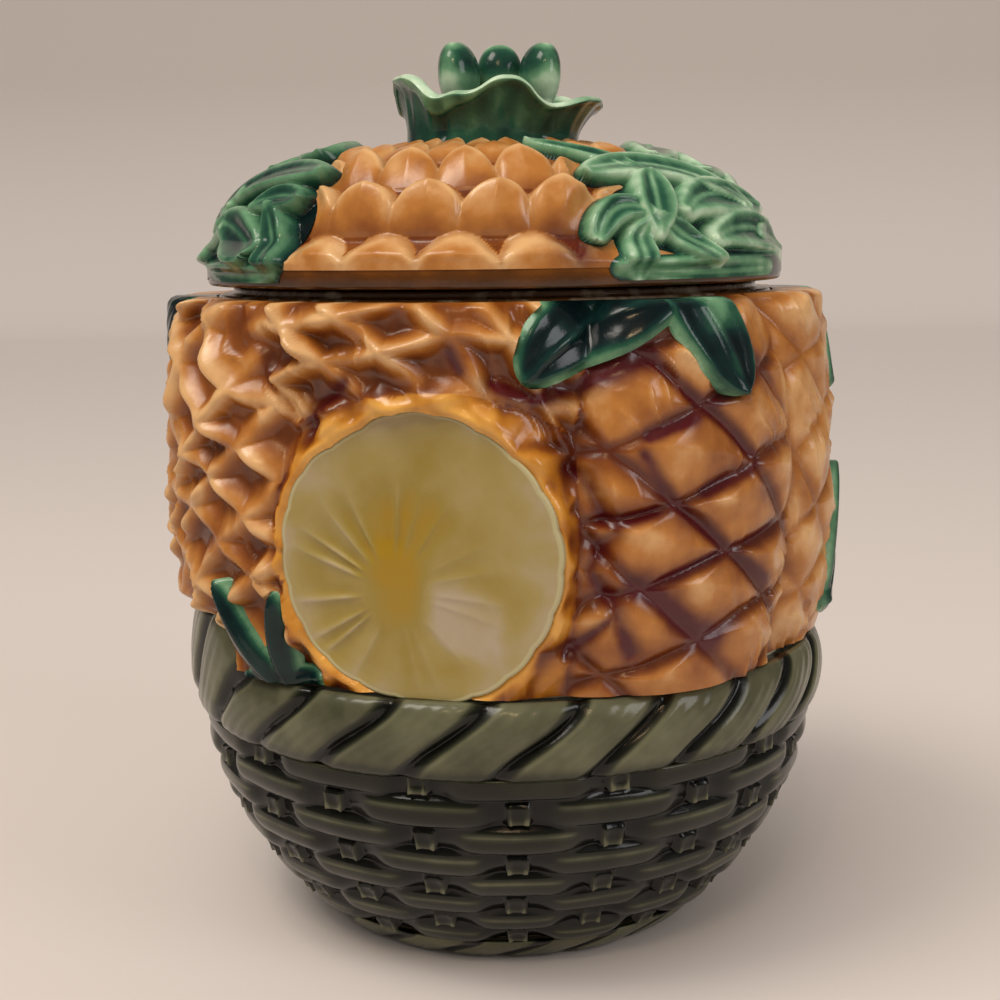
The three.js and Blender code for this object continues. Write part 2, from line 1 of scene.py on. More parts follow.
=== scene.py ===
# Pineapple jelly jar: a cast and glazed earthenware jar whose lid lifts off.
# Lengths are millimetres until a mesh is made. A turn is an angle round the jar in degrees, 0 at the
# front, which faces -Y, and growing towards +X.

import bpy
import numpy as np
from mathutils import Matrix, Vector


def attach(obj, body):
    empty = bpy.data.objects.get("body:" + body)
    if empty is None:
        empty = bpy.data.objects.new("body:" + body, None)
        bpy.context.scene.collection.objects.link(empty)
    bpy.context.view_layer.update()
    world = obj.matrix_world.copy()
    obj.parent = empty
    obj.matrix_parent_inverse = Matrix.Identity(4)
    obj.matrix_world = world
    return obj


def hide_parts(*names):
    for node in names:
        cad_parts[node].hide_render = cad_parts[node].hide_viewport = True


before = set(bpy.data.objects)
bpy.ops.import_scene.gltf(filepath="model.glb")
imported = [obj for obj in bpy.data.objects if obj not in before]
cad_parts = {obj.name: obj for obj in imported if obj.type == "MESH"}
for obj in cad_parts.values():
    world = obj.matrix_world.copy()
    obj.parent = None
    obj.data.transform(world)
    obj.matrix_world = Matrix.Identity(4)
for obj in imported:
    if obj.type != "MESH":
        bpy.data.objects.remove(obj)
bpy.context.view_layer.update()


# The vessel is the inner jar that carries everything: foot ring, floor, wall, mouth and raised seat.
# It is cast earthenware, dipped in a cream glaze inside, with brown painted on the seat as shade under the
# lid.
MM = 0.001
GAP = 0.3
ROUND_STEPS = 240

BASKET_FOOT_RADIUS = 29.3
BASKET_TOP_RADIUS = 47.2
BASKET_SPREAD = BASKET_TOP_RADIUS - BASKET_FOOT_RADIUS
BASKET_HEIGHT = 33
BASKET_UPRIGHT = BASKET_HEIGHT + 2
WEAVE_DEPTH = 2.2
ROPE_HEIGHT = 10.7
BAND_FOOT = BASKET_HEIGHT + ROPE_HEIGHT + 2 * GAP
BAND_HEIGHT = 51
RIM_HEIGHT = BAND_FOOT + BAND_HEIGHT
RIM_RADIUS = 41.6
WALL = 3.4
WALL_BELLY = 1.5
MOUTH_SHIFT = -1.2
MOUTH_RADIUS = 37
MOUTH_DEPTH = 6
SEAT_WIDTH = 2.4
SEAT_RISE = 1
FLOOR_HEIGHT = 5.7
FLOOR_CORNER = 3
FOOT_RECESS = 1.2
FOOT_INNER_RADIUS = 22.3
GLAZE_GRAIN = 0.7
GLAZE_RIPPLE = 0.15


def smooth(value, low, high):
    """Goes from 0 at low to 1 at high along an S curve, and stays there."""
    share = np.clip((value - low) / (high - low), 0, 1)
    return share * share * (3 - 2 * share)


def bell(value, width, power=2):
    """Bell curve: 1 at nothing, 0.37 at the width. A power of 4 makes its top flat."""
    return np.exp(-((value / width) ** power))


def around(count):
    """Evenly spaced turns of a full circle."""
    return np.arange(count) * 360 / count


def wrapped(turn, middle, period=360):
    """Degrees from a middle, the shorter way round."""
    return (turn - middle + period / 2) % period - period / 2


def from_middle(turn, middle):
    """Degrees from the middle of a form, or of its twin half a turn round."""
    return wrapped(turn, middle, 180)


def sideways(height):
    """How far the ware leans to the side at a height: nothing up to the middle of the fruit band,
    then an S curve to the shift of the mouth."""
    return MOUTH_SHIFT * smooth(height, BAND_FOOT + BAND_HEIGHT / 2, RIM_HEIGHT)


def place(turn, radius, height, beside=0, lean=sideways):
    """Points at a turn, a distance from the axis and a height, set beside that turn at right angles
    to it, on ware that leans over."""
    sine, cosine = np.sin(np.radians(turn)), np.cos(np.radians(turn))
    x = radius * sine + beside * cosine + lean(height)
    return np.stack(np.broadcast_arrays(x, beside * sine - radius * cosine, height), -1)


def basket_radius(height):
    """A parabola that rises from the foot and stands upright just over the rope's foot."""
    slack = 1 - height / BASKET_UPRIGHT
    return BASKET_FOOT_RADIUS + BASKET_SPREAD * (1 - slack * slack)


def wall_radius(height):
    """Outer radius of the vessel: a little inside the basket, then a straight line to the rim with
    half a sine wave of belly on it."""
    height = np.asarray(height, float)
    low = basket_radius(np.minimum(height, BASKET_HEIGHT)) - WEAVE_DEPTH - GAP
    share = np.clip((height - BASKET_HEIGHT) / (RIM_HEIGHT - BASKET_HEIGHT), 0, 1)
    return low + share * (RIM_RADIUS - low) + WALL_BELLY * np.sin(np.pi * share)


def grid_quads(rows, columns, close_rows=False, close_columns=True):
    """Quads of a grid of points, joined on round each way that is closed."""
    row = np.arange(rows if close_rows else rows - 1)[:, None]
    column = np.arange(columns if close_columns else columns - 1)[None, :]
    over = (row + 1) % rows * columns
    beside = (column + 1) % columns
    corners = [row * columns + column, row * columns + beside, over + beside, over + column]
    return np.stack(np.broadcast_arrays(*corners), -1).reshape(-1, 4)


def fitting_normals(points, faces, normals):
    """Normals for the corners of faces: the given ones, but a level face that they don't fit, such
    as a top edge, gets its own."""
    corners = normals.reshape(-1, 3)[faces]
    across, along = (points[faces[:, i + 2]] - points[faces[:, i]] for i in (0, 1))
    flat = np.cross(across, along)
    flat = (flat / np.maximum(np.linalg.norm(flat, axis=1, keepdims=True), 1e-9))[:, None]
    level = (np.abs(flat[..., 2:]) > 0.9) & ((corners * flat).sum(-1, keepdims=True) < 0.3)
    return np.where(level, flat, corners).reshape(-1, 3)


def make_piece(name, points, faces, body, nodes, material, marks=None, normals=None):
    """Mesh of points in millimetres and faces of equal size, which rides on a body in place of CAD
    nodes. marks are values kept on the points for the glaze to read."""
    points = np.asarray(points, float).reshape(-1, 3)
    faces = np.asarray(faces, np.int32)
    mesh = bpy.data.meshes.new(name)
    mesh.vertices.add(len(points))
    mesh.vertices.foreach_set("co", (points * MM).astype(np.float32).ravel())
    mesh.loops.add(faces.size)
    mesh.loops.foreach_set("vertex_index", faces.ravel())
    mesh.polygons.add(len(faces))
    mesh.polygons.foreach_set("loop_start", np.arange(0, faces.size, faces.shape[1], dtype=np.int32))
    mesh.polygons.foreach_set("use_smooth", np.ones(len(faces), bool))
    mesh.update(calc_edges=True)
    for mark, values in (marks or {}).items():
        layer = mesh.attributes.new(mark, "FLOAT", "POINT")
        layer.data.foreach_set("value", np.asarray(values, np.float32).ravel())
    mesh.materials.append(material)
    if normals is not None:
        mesh.normals_split_custom_set(fitting_normals(points, faces, normals))
    piece = bpy.data.objects.new(name, mesh)
    bpy.context.scene.collection.objects.link(piece)
    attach(piece, body)
    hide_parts(*nodes)


def parabola(start, control, end, share):
    """Points at shares of the way along a parabola from start to end, drawn to a control point."""
    return start * (1 - share) ** 2 + 2 * control * share * (1 - share) + end * share**2


def rounded(outline, rounding, steps=3):
    """Outline whose inner corners are replaced by short parabolas, rounding long on each side and no
    longer than a third of the side."""
    outline = np.asarray(outline, float)
    corner = outline[1:-1]
    before = outline[:-2] - corner
    after = outline[2:] - corner
    start = corner + before * np.minimum(rounding / np.linalg.norm(before, axis=1), 0.33)[:, None]
    end = corner + after * np.minimum(rounding / np.linalg.norm(after, axis=1), 0.33)[:, None]
    share = np.linspace(0, 1, steps + 1)[None, :, None]
    curve = parabola(start[:, None], corner[:, None], end[:, None], share)
    return np.concatenate([outline[:1], curve.reshape(-1, 2), outline[-1:]])


def turned(outline):
    """Solid of an outline of radii and heights carried round the axis. It starts and ends on the
    axis, and goes up the outside and down the inside."""
    outline = np.asarray(outline, float)
    rings = place(around(ROUND_STEPS), outline[1:-1, :1], outline[1:-1, 1:])
    return with_poles(rings, place(0, *outline[0]), place(0, *outline[-1]))


def with_poles(rings, first, last):
    """Closes a grid of rings with a fan of triangles to a point at each end."""
    rows, columns = rings.shape[:2]
    quads = grid_quads(rows, columns) + 1
    ring = np.arange(columns)
    beside = (ring + 1) % columns
    last_ring = 1 + (rows - 1) * columns
    end = 1 + rows * columns
    start_fan = np.stack([0 * ring, 1 + beside, 1 + ring], -1)
    end_fan = np.stack([last_ring + ring, last_ring + beside, 0 * ring + end], -1)
    faces = np.concatenate([start_fan, quads[:, [0, 1, 2]], quads[:, [0, 2, 3]], end_fan])
    return np.concatenate([[first], rings.reshape(-1, 3), [last]]), faces


def paint(colour):
    """Linear colour of an sRGB hex value: each channel is divided by 12.92 when dark, and otherwise
    raised to the power 2.4."""
    channels = [int(colour[i:i + 2], 16) / 255 for i in (1, 3, 5)]
    return tuple(c / 12.92 if c <= 0.04045 else ((c + 0.055) / 1.055) ** 2.4 for c in channels) + (1,)


def add(material, kind, inputs=None, stops=None, **settings):
    """Adds a node with its settings, values or links for its inputs, and the stops of a ramp."""
    node = material.node_tree.nodes.new(kind)
    for name, value in settings.items():
        setattr(node, name, value)
    for name, value in (inputs or {}).items():
        if isinstance(value, bpy.types.NodeSocket):
            material.node_tree.links.new(value, node.inputs[name])
        else:
            node.inputs[name].default_value = value
    for i, (position, colour) in enumerate(stops or []):
        spot = node.color_ramp.elements[i] if i < 2 else node.color_ramp.elements.new(position)
        spot.position = position
        spot.color = colour
    return node


def glaze(name, shades, blurring=0.3, mottle=4.0, stain_and_painted_light="#4a1a18", roughness=0.16, index=1.52):
    """Coloured glaze over fired clay. Its shades run from thin, over ridges, to pooled, in grooves,
    along the mark pool, blurred by the firing over patches mottle millimetres wide. A second mark
    brushes another colour into it: real brushed colour on the fruit, and in a few places painted
    shade and painted highlights."""
    material = bpy.data.materials.new(name)
    material.use_nodes = True
    link = material.node_tree.links.new
    shader = material.node_tree.nodes["Principled BSDF"]
    spot = add(material, "ShaderNodeTexCoord").outputs["Object"]

    def noise(size, detail):
        """Soft noise with patches of a size in millimetres."""
        inputs = {"Vector": spot, "Scale": 1 / (size * MM), "Detail": detail}
        return add(material, "ShaderNodeTexNoise", inputs).outputs["Fac"]

    def sums(operation, *values, **settings):
        """Result of an operation on values or links."""
        inputs = dict(enumerate(values))
        return add(material, "ShaderNodeMath", inputs, operation=operation, **settings).outputs[0]

    def mark(kept):
        """Value of a mark kept on the points of the mesh."""
        return add(material, "ShaderNodeAttribute", attribute_name=kept).outputs["Fac"]

    patches = noise(mottle, 4.0)
    grain = noise(GLAZE_GRAIN, 2.0)
    blur = sums("SUBTRACT", patches, 0.5)
    depth = sums("MULTIPLY_ADD", blur, blurring * 2, mark("pool"))
    stops = [(i / (len(shades) - 1), paint(shade)) for i, shade in enumerate(shades)]
    body = add(material, "ShaderNodeValToRGB", {"Fac": depth}, stops=stops).outputs["Color"]
    cover = sums("MULTIPLY", sums("MULTIPLY_ADD", blur, 1.2, 1.0), mark("stain_and_painted_light"), use_clamp=True)
    mixed = add(material, "ShaderNodeMix", {"Factor": cover, 6: body, 7: paint(stain_and_painted_light)}, data_type="RGBA")
    link(mixed.outputs[2], shader.inputs["Base Color"])
    dull = {"Value": patches, "To Min": roughness * 0.7, "To Max": roughness * 1.4}
    link(add(material, "ShaderNodeMapRange", dull).outputs["Result"], shader.inputs["Roughness"])
    shader.inputs["IOR"].default_value = index
    waves = {"Height": patches, "Strength": GLAZE_RIPPLE, "Distance": 0.6 * MM}
    waves = add(material, "ShaderNodeBump", waves).outputs["Normal"]
    skin = {"Height": grain, "Normal": waves, "Strength": GLAZE_RIPPLE, "Distance": 0.1 * MM}
    link(add(material, "ShaderNodeBump", skin).outputs["Normal"], shader.inputs["Normal"])
    return material


# Cream glaze on a pale body: the eye sees a glossy warm white that is faintly uneven.
# Its brown stain colour is painted shade on the seat.
cream_glaze = glaze("glazed_earthenware_cream", ["#e6dcc0", "#d9c9a4", "#b79f74"], stain_and_painted_light="#4a2f18")

foot = [(0, FOOT_RECESS), (FOOT_INNER_RADIUS - FOOT_RECESS, FOOT_RECESS), (FOOT_INNER_RADIUS, 0)]
outside = [(wall_radius(z), z) for z in (0, *np.linspace(2, RIM_HEIGHT, 24))]
seat = [(MOUTH_RADIUS + SEAT_WIDTH, RIM_HEIGHT), (MOUTH_RADIUS + SEAT_WIDTH, RIM_HEIGHT + SEAT_RISE)]
mouth = [(MOUTH_RADIUS, RIM_HEIGHT + SEAT_RISE), (MOUTH_RADIUS, RIM_HEIGHT - MOUTH_DEPTH)]
inside_heights = np.linspace(RIM_HEIGHT - 2 * MOUTH_DEPTH, FLOOR_HEIGHT + 1, 20)
inside = [(wall_radius(z) - WALL, z) for z in inside_heights]
floor = [(wall_radius(FLOOR_HEIGHT) - WALL - FLOOR_CORNER, FLOOR_HEIGHT), (0, FLOOR_HEIGHT)]
vessel_points, vessel_faces = turned(rounded(foot + outside + seat + mouth + inside + floor, 0.7))
vessel_z = vessel_points[:, 2]
vessel_marks = {
    "pool": smooth(vessel_z, 30, 5) * 0.5,
    # Painted shade: the seat is browned where it lies in the dark gap under the lid.
    "stain_and_painted_light": smooth(vessel_z, RIM_HEIGHT - 2, RIM_HEIGHT - 0.5),
}
make_piece(
    "vessel_wall", vessel_points, vessel_faces, "jar", ["vessel"], cream_glaze,
    vessel_marks,
)


# The basket is the bowl's skin, moulded as a weave of flat strands that pass in front of every
# second stake and sink behind the next. It is cast with the bowl and glazed in a dark olive that runs
# thin over the strands and pools black in the holes.
BASKET_COLUMNS = 720
BASKET_ROWS = 112
BASKET_SINK = 0.3
STAKE_TURN = 360 / 22
FIRST_STAKE = 1.5
ROW_HEIGHT = 4.25
FIRST_ROW = 1.1
STAKE_WIDTH = 2.9
STAKE_LENGTH = 2.9
HOLE_DEPTH = 1.35
HOLE_REACH = 4.6
STRAND_CROWN = 0.65
FOOT_ROPE_TOP = 4.6


def unevenness(points, size, seed):
    """Gentle hand-made unevenness, about between -1 and 1: eight waves of about the given size in
    random directions, added up."""
    chance = np.random.default_rng(seed)
    total = np.zeros(points.shape[:-1])
    for _ in range(8):
        direction = chance.normal(size=3)
        wave_number = 2 * np.pi / (size * chance.uniform(0.7, 1.6) * np.linalg.norm(direction))
        total += np.sin(points @ (direction * wave_number) + chance.uniform(0, 2 * np.pi))
    return total / 4


def weave(turn, down, uneven):
    """Height over the basket's mean surface at a turn and a distance down the bowl. Each strand is
    crowned across and sinks in a flat-bottomed bell curve behind its stakes, which stand in the holes
    as small blocks with raised edges. Also tells how much of a block, or of the upper shoulder of a
    strand, a point is."""
    row = np.floor((down - FIRST_ROW) / ROW_HEIGHT + 0.5)
    across = (down - FIRST_ROW) - row * ROW_HEIGHT
    edge = np.abs(2 * across / ROW_HEIGHT)
    pair = (turn - FIRST_STAKE + 1.2 * uneven) / (2 * STAKE_TURN) + 0.5 * (row % 2 == 0)
    aside = np.radians((pair - np.round(pair)) * 2 * STAKE_TURN) * (BASKET_TOP_RADIUS - down * 0.45)
    crowned = STRAND_CROWN * (1 - edge**2.1)
    strand = crowned - HOLE_DEPTH * bell(aside, HOLE_REACH, 4) * (1 - 0.5 * edge**4)
    block = 1 - smooth(np.abs(aside), STAKE_WIDTH / 2 - 0.25, STAKE_WIDTH / 2 + 0.35)
    block = block * (1 - smooth(np.abs(across), STAKE_LENGTH / 2 - 0.2, STAKE_LENGTH / 2 + 0.4))
    lip = 0.35 * smooth(np.abs(aside), 0.5, 1.3) + 0.3 * smooth(across, -0.2, 1.2)
    shoulder = bell(across + 0.27 * ROW_HEIGHT, 0.4) * smooth(strand, -0.3, 0.3)
    return np.maximum(strand, -HOLE_DEPTH + (HOLE_DEPTH + lip) * block), block * (strand < 0), shoulder


def olive_ring(name, node, front, pool, back_heights):
    """Makes a closed ring of olive ware from its front and a plain back just off the vessel's
    wall."""
    height = back_heights[:, None]
    back = place(around(front.shape[1]), wall_radius(height) + GAP, height)
    points = np.concatenate([front, back])
    faces = grid_quads(*points.shape[:2], close_rows=True)
    marks = {"pool": np.concatenate([pool, np.ones(back.shape[:2])])}
    make_piece(name, points, faces, "jar", [node], olive_glaze, marks)


def along_normal(turn, radius, height, slope, out):
    """Points moved out along the normal of a surface of revolution whose radius grows by slope for
    each step up."""
    length = np.sqrt(1 + slope * slope)
    return place(turn, radius + out / length, height - out * slope / length)


# Dark olive glaze, thick and glassy: it looks black where it pools and grey green where it thins.
olive_glaze = glaze(
    "glazed_earthenware_olive", ["#626149", "#323324", "#191a10", "#0f100a", "#030302"], mottle=8.0,
    blurring=0.25, roughness=0.2, index=1.4,
)

basket_turns = around(BASKET_COLUMNS)
profile_heights = np.linspace(FOOT_ROPE_TOP, BASKET_HEIGHT + GAP + GAP, 400)
profile_radii = basket_radius(profile_heights)
profile_steps = np.hypot(np.diff(profile_heights), np.diff(profile_radii))
profile_lengths = np.concatenate([[0], np.cumsum(profile_steps)])
basket_up = np.linspace(0, profile_lengths[-1], BASKET_ROWS)[:, None]
basket_z = np.interp(basket_up, profile_lengths, profile_heights)
basket_r = basket_radius(basket_z)
basket_slope = 2 * BASKET_SPREAD / BASKET_UPRIGHT * (1 - basket_z / BASKET_UPRIGHT)
basket_mean = place(basket_turns, basket_r, basket_z)
basket_down = profile_lengths[-1] - basket_up
basket_uneven = unevenness(basket_mean, 30, 3)
basket_out, basket_blocks, basket_shoulder_highlight = weave(basket_turns, basket_down, basket_uneven)
# The upper shoulder of each strand is painted paler: a painted highlight.
basket_pool = 0.5 + 0.5 * smooth(-basket_out, -0.6, 0.4) - 0.38 * basket_shoulder_highlight
basket_pool = basket_pool * (1 - basket_blocks * smooth(basket_out, 0, 0.5))
basket_out = basket_out - BASKET_SINK + 0.12 * unevenness(basket_mean, 12, 4)
basket_front = along_normal(basket_turns, basket_r, basket_z, basket_slope, basket_out)
olive_ring(
    "woven_basket", "basket_weave", basket_front, basket_pool,
    np.linspace(BASKET_HEIGHT, FOOT_ROPE_TOP, 6),
)


# Two twisted ropes bind the basket: a thick one round its top, and a thin one round the foot, which
# the jar stands behind. Both are moulded with the bowl and take the same olive glaze.
ROPE_COLUMNS = 900
ROPE_RADIUS = 49.2
ROPE_STRANDS = 24
ROPE_SWEEP = 13.5
ROPE_GROOVE = 1.5
ROPE_FIBRES = 5
ROPE_FOOT = BASKET_HEIGHT + GAP
ROPE_LIFT = 6.5
LIFT_TURN = -78
FOOT_ROPE_STRANDS = 20
FOOT_ROPE_SWEEP = 11
FOOT_ROPE_SWELL = 0.7
FOOT_ROPE_GROOVE = 0.8
FIRST_GROOVE = -2.5


def beside_tuft(turn):
    """1 on the left of the leaf tuft, where the thick rope stands higher against the fruit, and 0
    elsewhere, along an S curve."""
    return 1 - smooth(np.abs(wrapped(turn, LIFT_TURN)), 19, 31)


def rope(name, node, foot, top, shoulder, swell, strands, sweep, groove, rows, lift=0):
    """Ring whose outer side is half a round bar, with strands that climb it: a strand is crowned
    between grooves, which move round by the sweep from foot to top along an S curve, and has a few
    fine fibres along it. Beside the tuft its top is raised by the lift."""
    turn = around(ROPE_COLUMNS)
    angle = np.linspace(0, np.pi, rows)[:, None]
    height = foot + (top - foot) * (1 - np.cos(angle)) / 2
    radius = shoulder(height) + swell * np.sin(angle)
    mean = place(turn, radius, height)
    share = (height - foot) / (top - foot)
    climb = 0.55 * share + 0.45 * smooth(share, 0, 1)
    strand = (turn - FIRST_GROOVE - sweep * climb + 0.8 * unevenness(mean, 25, 7)) * strands / 360
    across = strand - np.floor(strand)
    edge = np.abs(2 * across - 1)
    lit = bell(across - 0.15, 0.05)
    fibre = 0.035 * groove * np.cos(2 * np.pi * ROPE_FIBRES * strand) * (1 - edge**4)
    out = -groove * edge**4.5 + fibre + 0.12 * unevenness(mean, 9, 8)
    out = out * np.sin(angle * 0.92 + 0.12) ** 0.5
    raised = lift * beside_tuft(turn) * smooth(share, 0.35, 1)
    front = place(turn, radius + out * np.sin(angle), height + raised - out * np.cos(angle) * 0.6)
    # lit paints a paler line along one side of each groove: a painted highlight.
    pool = smooth(edge, 0.62, 1.0) * 0.85 + 0.09 - 0.1 * lit + 0.25 * (1 - smooth(share, 0.0, 0.25))
    olive_ring(name, node, front, pool, np.linspace(top, foot, 5))


rope_shoulder = (wall_radius(ROPE_FOOT) + ROPE_RADIUS) / 2
rope(
    "thick_rope", "rim_rope", ROPE_FOOT, BAND_FOOT - GAP, lambda height: rope_shoulder,
    ROPE_RADIUS - rope_shoulder, ROPE_STRANDS, ROPE_SWEEP, ROPE_GROOVE, rows=60, lift=ROPE_LIFT,
)
rope(
    "thin_foot_rope", "foot_rope", GAP, FOOT_ROPE_TOP - GAP,
    lambda height: basket_radius(height) - FOOT_ROPE_SWELL, FOOT_ROPE_SWELL, FOOT_ROPE_STRANDS,
    FOOT_ROPE_SWEEP, FOOT_ROPE_GROOVE, rows=30,
)


# The fruit band is moulded in one with the jar: pineapples with diamond eyes, standing, leaning and
# lying, and one cut across. Honey glaze runs thin and pale over the eyes and browns in the grooves,
# and maroon is brushed over it in the deepest ones.
BAND_TURN = 59.4
DEGREE = BAND_HEIGHT / BAND_TURN
BAND_RADIUS = 47
BAND_COLUMNS = 864
BAND_ROWS = 150
BAND_TOP = RIM_HEIGHT - GAP
FRUIT_SINK = 8
FRUIT_RISE = 6
FRUIT_SQUARENESS = 2.8
FRUIT_FLOOR = 0.5
FRUIT_BLEND = 2.2
EYE_RIDGE = 2.0
EYE_GROOVE = 0.4
EYE_GROOVE_WIDTH = 0.9
EYE_SHIFT = 0.7
NO_GROOVE = 9
WRINKLE_PITCH = 3.3
WRINKLE_HEIGHT = 0.5
RIM_ROUNDING = 1.1
RIND_SCALLOPS = 17
FAR_RIGHT = (44, 62)
FAR_LEFT = (62, 84)
BOX_SIDE = 50.75
BOX_FRONT = 49.95
BOX_EASE = 5
SLICE_RADIUS = 19.2
SLICE_TURN = -17
SLICE_ASIDE = 2
SLICE_MIDDLE = BAND_FOOT + 0.355 * BAND_HEIGHT
SLICE_FACE = wall_radius(SLICE_MIDDLE) + 1.05

# Turn of the middle of each fruit, its height and size in shares of the band's height, its lean and
# how far it rises, a crossing of two grooves, the directions and spacings of both families of grooves,
# where in its cell an eye peaks, and how high.
FRUITS = [
    {"name": "half_pineapple", "turn": -13, "share": 0.34, "lean": 0, "length": 1.04, "width": 1.04,
     "rise": 0.7, "crossing": (6.5, 60), "grooves": (78, 8), "pitch": (9, 8.5), "apex": (0.5, 0.7),
     "peak": 1.0},
    {"name": "tall_pineapple", "turn": 34, "share": 0.4, "lean": 10, "length": 1.412, "width": 0.902,
     "rise": 0.97, "crossing": (35.8, 62.3), "grooves": (-43, 15), "pitch": (11.5, 9.7),
     "apex": (0.42, 0.76), "peak": 1.35},
    {"name": "leaning_pineapple", "turn": -60, "share": 0.44, "lean": -12, "length": 1.334,
     "width": 0.98, "rise": 1.1, "crossing": (-51, 70), "grooves": (48, -32), "pitch": (7.4, 7.8),
     "apex": (0.6, 0.6), "peak": -1.0},
    {"name": "side_pineapple", "turn": 79, "share": 0.55, "lean": 4, "length": 1.53, "width": 0.98,
     "rise": 0.98, "crossing": (66, 66), "grooves": (-48, 22), "pitch": (11, 9.5),
     "apex": (0.45, 0.75), "peak": 1.3},
    {"name": "upper_pineapple", "turn": -20, "share": 0.88, "lean": -74, "length": 1.45,
     "width": 0.666, "rise": 0.73, "crossing": (-29, 86.5), "grooves": (-56, 6), "pitch": (7.8, 7.4),
     "apex": (0.4, 0.5), "peak": -1.0},
]

# Strokes of maroon: width, share of groove cut along it, and turns and heights it passes.
STROKES = [
    (1.25, 1.0, [(10, 74), (12.5, 73), (14, 70), (16.5, 66), (13, 61), (16, 57), (17, 54), (19, 50)]),
    (0.8, 0.3, [(16, 67), (22.5, 68.5)]),
    (0.9, 0.5, [(9, 50), (16, 55)]),
    (0.9, 0.2, [(21, 76), (25, 70), (30, 66), (36, 62.5), (45, 57)]),
    (2.1, 0.3, [(20, 59), (24, 57), (28, 53.5), (33, 51)]),
    (0.8, 0.2, [(23, 59.5), (35, 62.5), (48, 65)]),
    (0.8, 0.2, [(31, 70.5), (42, 73)]),
    (0.8, 0.2, [(22, 78), (30, 80), (38, 83)]),
    (1.6, 0.8, [(-1, 85), (5, 83), (12, 84), (18, 86), (24, 88)]),
    (1.0, 0.4, [(25, 87), (31, 82), (36, 79), (42, 74)]),
    (1.2, 0.5, [(-25, 85), (-31, 82), (-34, 77)]),
    (0.8, 0.3, [(-7.5, 89), (-6, 86.5)]),
]


def band_uneven(turn, height, size, seed):
    """Unevenness over the fruit band."""
    return unevenness(place(turn, BAND_RADIUS, height), size, seed)


def chosen(fields, which):
    """Value at each point of the field whose number is given there."""
    return np.take_along_axis(fields, which[None], 0)[0]


def blended(radii):
    """Soft maximum of radii, the logarithm of the sum of their exponentials, so that forms melt
    together where they meet."""
    return np.log(np.exp(FRUIT_BLEND * (radii - BAND_RADIUS)).sum(0)) / FRUIT_BLEND + BAND_RADIUS


def rim_rounded(radius, height):
    """Radius drawn in along a quarter circle under the band's top edge."""
    over = np.maximum(height - (BAND_TOP - RIM_ROUNDING), 0)
    return radius - RIM_ROUNDING + np.sqrt(np.maximum(RIM_ROUNDING**2 - over**2, 0))


def to_line(x, y, points):
    """Nearest distance to a bent line, the share of its way there, and the signed distance to its
    left."""
    points = np.asarray(points, float)
    steps = np.diff(points, axis=0)
    lengths = np.hypot(*steps.T)
    starts = np.concatenate([[0], np.cumsum(lengths)])
    nearest = np.full(np.shape(x), 1e9)
    share = np.zeros(np.shape(x))
    side = np.zeros(np.shape(x))
    for point, step, length, start in zip(points, steps / lengths[:, None], lengths, starts):
        along = np.clip((x - point[0]) * step[0] + (y - point[1]) * step[1], 0, length)
        over = (y - point[1]) * step[0] - (x - point[0]) * step[1]
        distance = np.hypot(x - point[0] - along * step[0], y - point[1] - along * step[1])
        closer = distance < nearest
        nearest = np.where(closer, distance, nearest)
        share = np.where(closer, (start + along) / starts[-1], share)
        side = np.where(closer, over, side)
    return nearest, share, side


def fruit_body(fruit, turn, height):
    """Radius of a fruit without its eyes: a squarish ellipsoid, sunk into the wall, whose two axes
    lean over."""
    middle = BAND_FOOT + fruit["share"] * BAND_HEIGHT
    lean = np.radians(fruit["lean"])
    aside = from_middle(turn, fruit["turn"]) * DEGREE
    up = height - middle
    along = (aside * np.sin(lean) + up * np.cos(lean)) * 2 / (fruit["length"] * BAND_HEIGHT)
    across = (aside * np.cos(lean) - up * np.sin(lean)) * 2 / (fruit["width"] * BAND_HEIGHT)
    outward = np.abs(along) ** FRUIT_SQUARENESS + np.abs(across) ** FRUIT_SQUARENESS
    swell = np.maximum(1 - outward, 0) ** (1 / FRUIT_SQUARENESS)
    return wall_radius(middle) - FRUIT_SINK + (FRUIT_SINK + fruit["rise"] * FRUIT_RISE) * swell


def fruit_eyes(fruit, turn, height, uneven, finer):
    """Height of the eyes of a fruit, and the distance to the nearest groove. An eye is a low
    four-sided pyramid between two pairs of grooves, whose peak sits off its middle. A fruit whose
    peak is negative has hollow eyes between soft ridges instead."""
    aside = (from_middle(turn, fruit["turn"]) + fruit["turn"] - fruit["crossing"][0]) * DEGREE
    up = height - fruit["crossing"][1]
    is_hollow = fruit["peak"] < 0
    bending = 2.2 if is_hollow else 1.1
    slope = 1.0
    nearest = 1e9
    for direction, pitch, peak in zip(fruit["grooves"], fruit["pitch"], fruit["apex"]):
        angle = np.radians(direction)
        across = up * np.cos(angle) - aside * np.sin(angle) + bending * uneven + 0.25 * finer
        cells = across / pitch
        in_cell = cells - np.floor(cells)
        slope = np.minimum(slope, np.minimum(in_cell / peak, (1 - in_cell) / (1 - peak)))
        nearest = np.minimum(nearest, np.minimum(in_cell, 1 - in_cell) * pitch)
    if is_hollow:
        ridge = EYE_RIDGE * (1 - smooth(slope, 0, 0.75)) * (1 + 0.45 * finer)
        return ridge + 0.35 * slope * uneven + fruit["peak"], nearest + NO_GROOVE
    cut = EYE_GROOVE * bell(nearest, EYE_GROOVE_WIDTH)
    return fruit["peak"] * slope**0.8 - cut - EYE_SHIFT, nearest


def wrinkles(turn, height, finer):
    """Height of fine folds that run up the fruit: narrow ridges about WRINKLE_PITCH apart, bent by
    the unevenness and fading in and out."""
    aside = from_middle(turn, 0) * DEGREE
    fold = 1 - np.abs(np.sin(np.pi * (aside + 0.45 * height + 1.6 * finer) / WRINKLE_PITCH))
    there = smooth(band_uneven(turn, height, 10, 17), -0.2, 0.7)
    return WRINKLE_HEIGHT * fold**2 * there


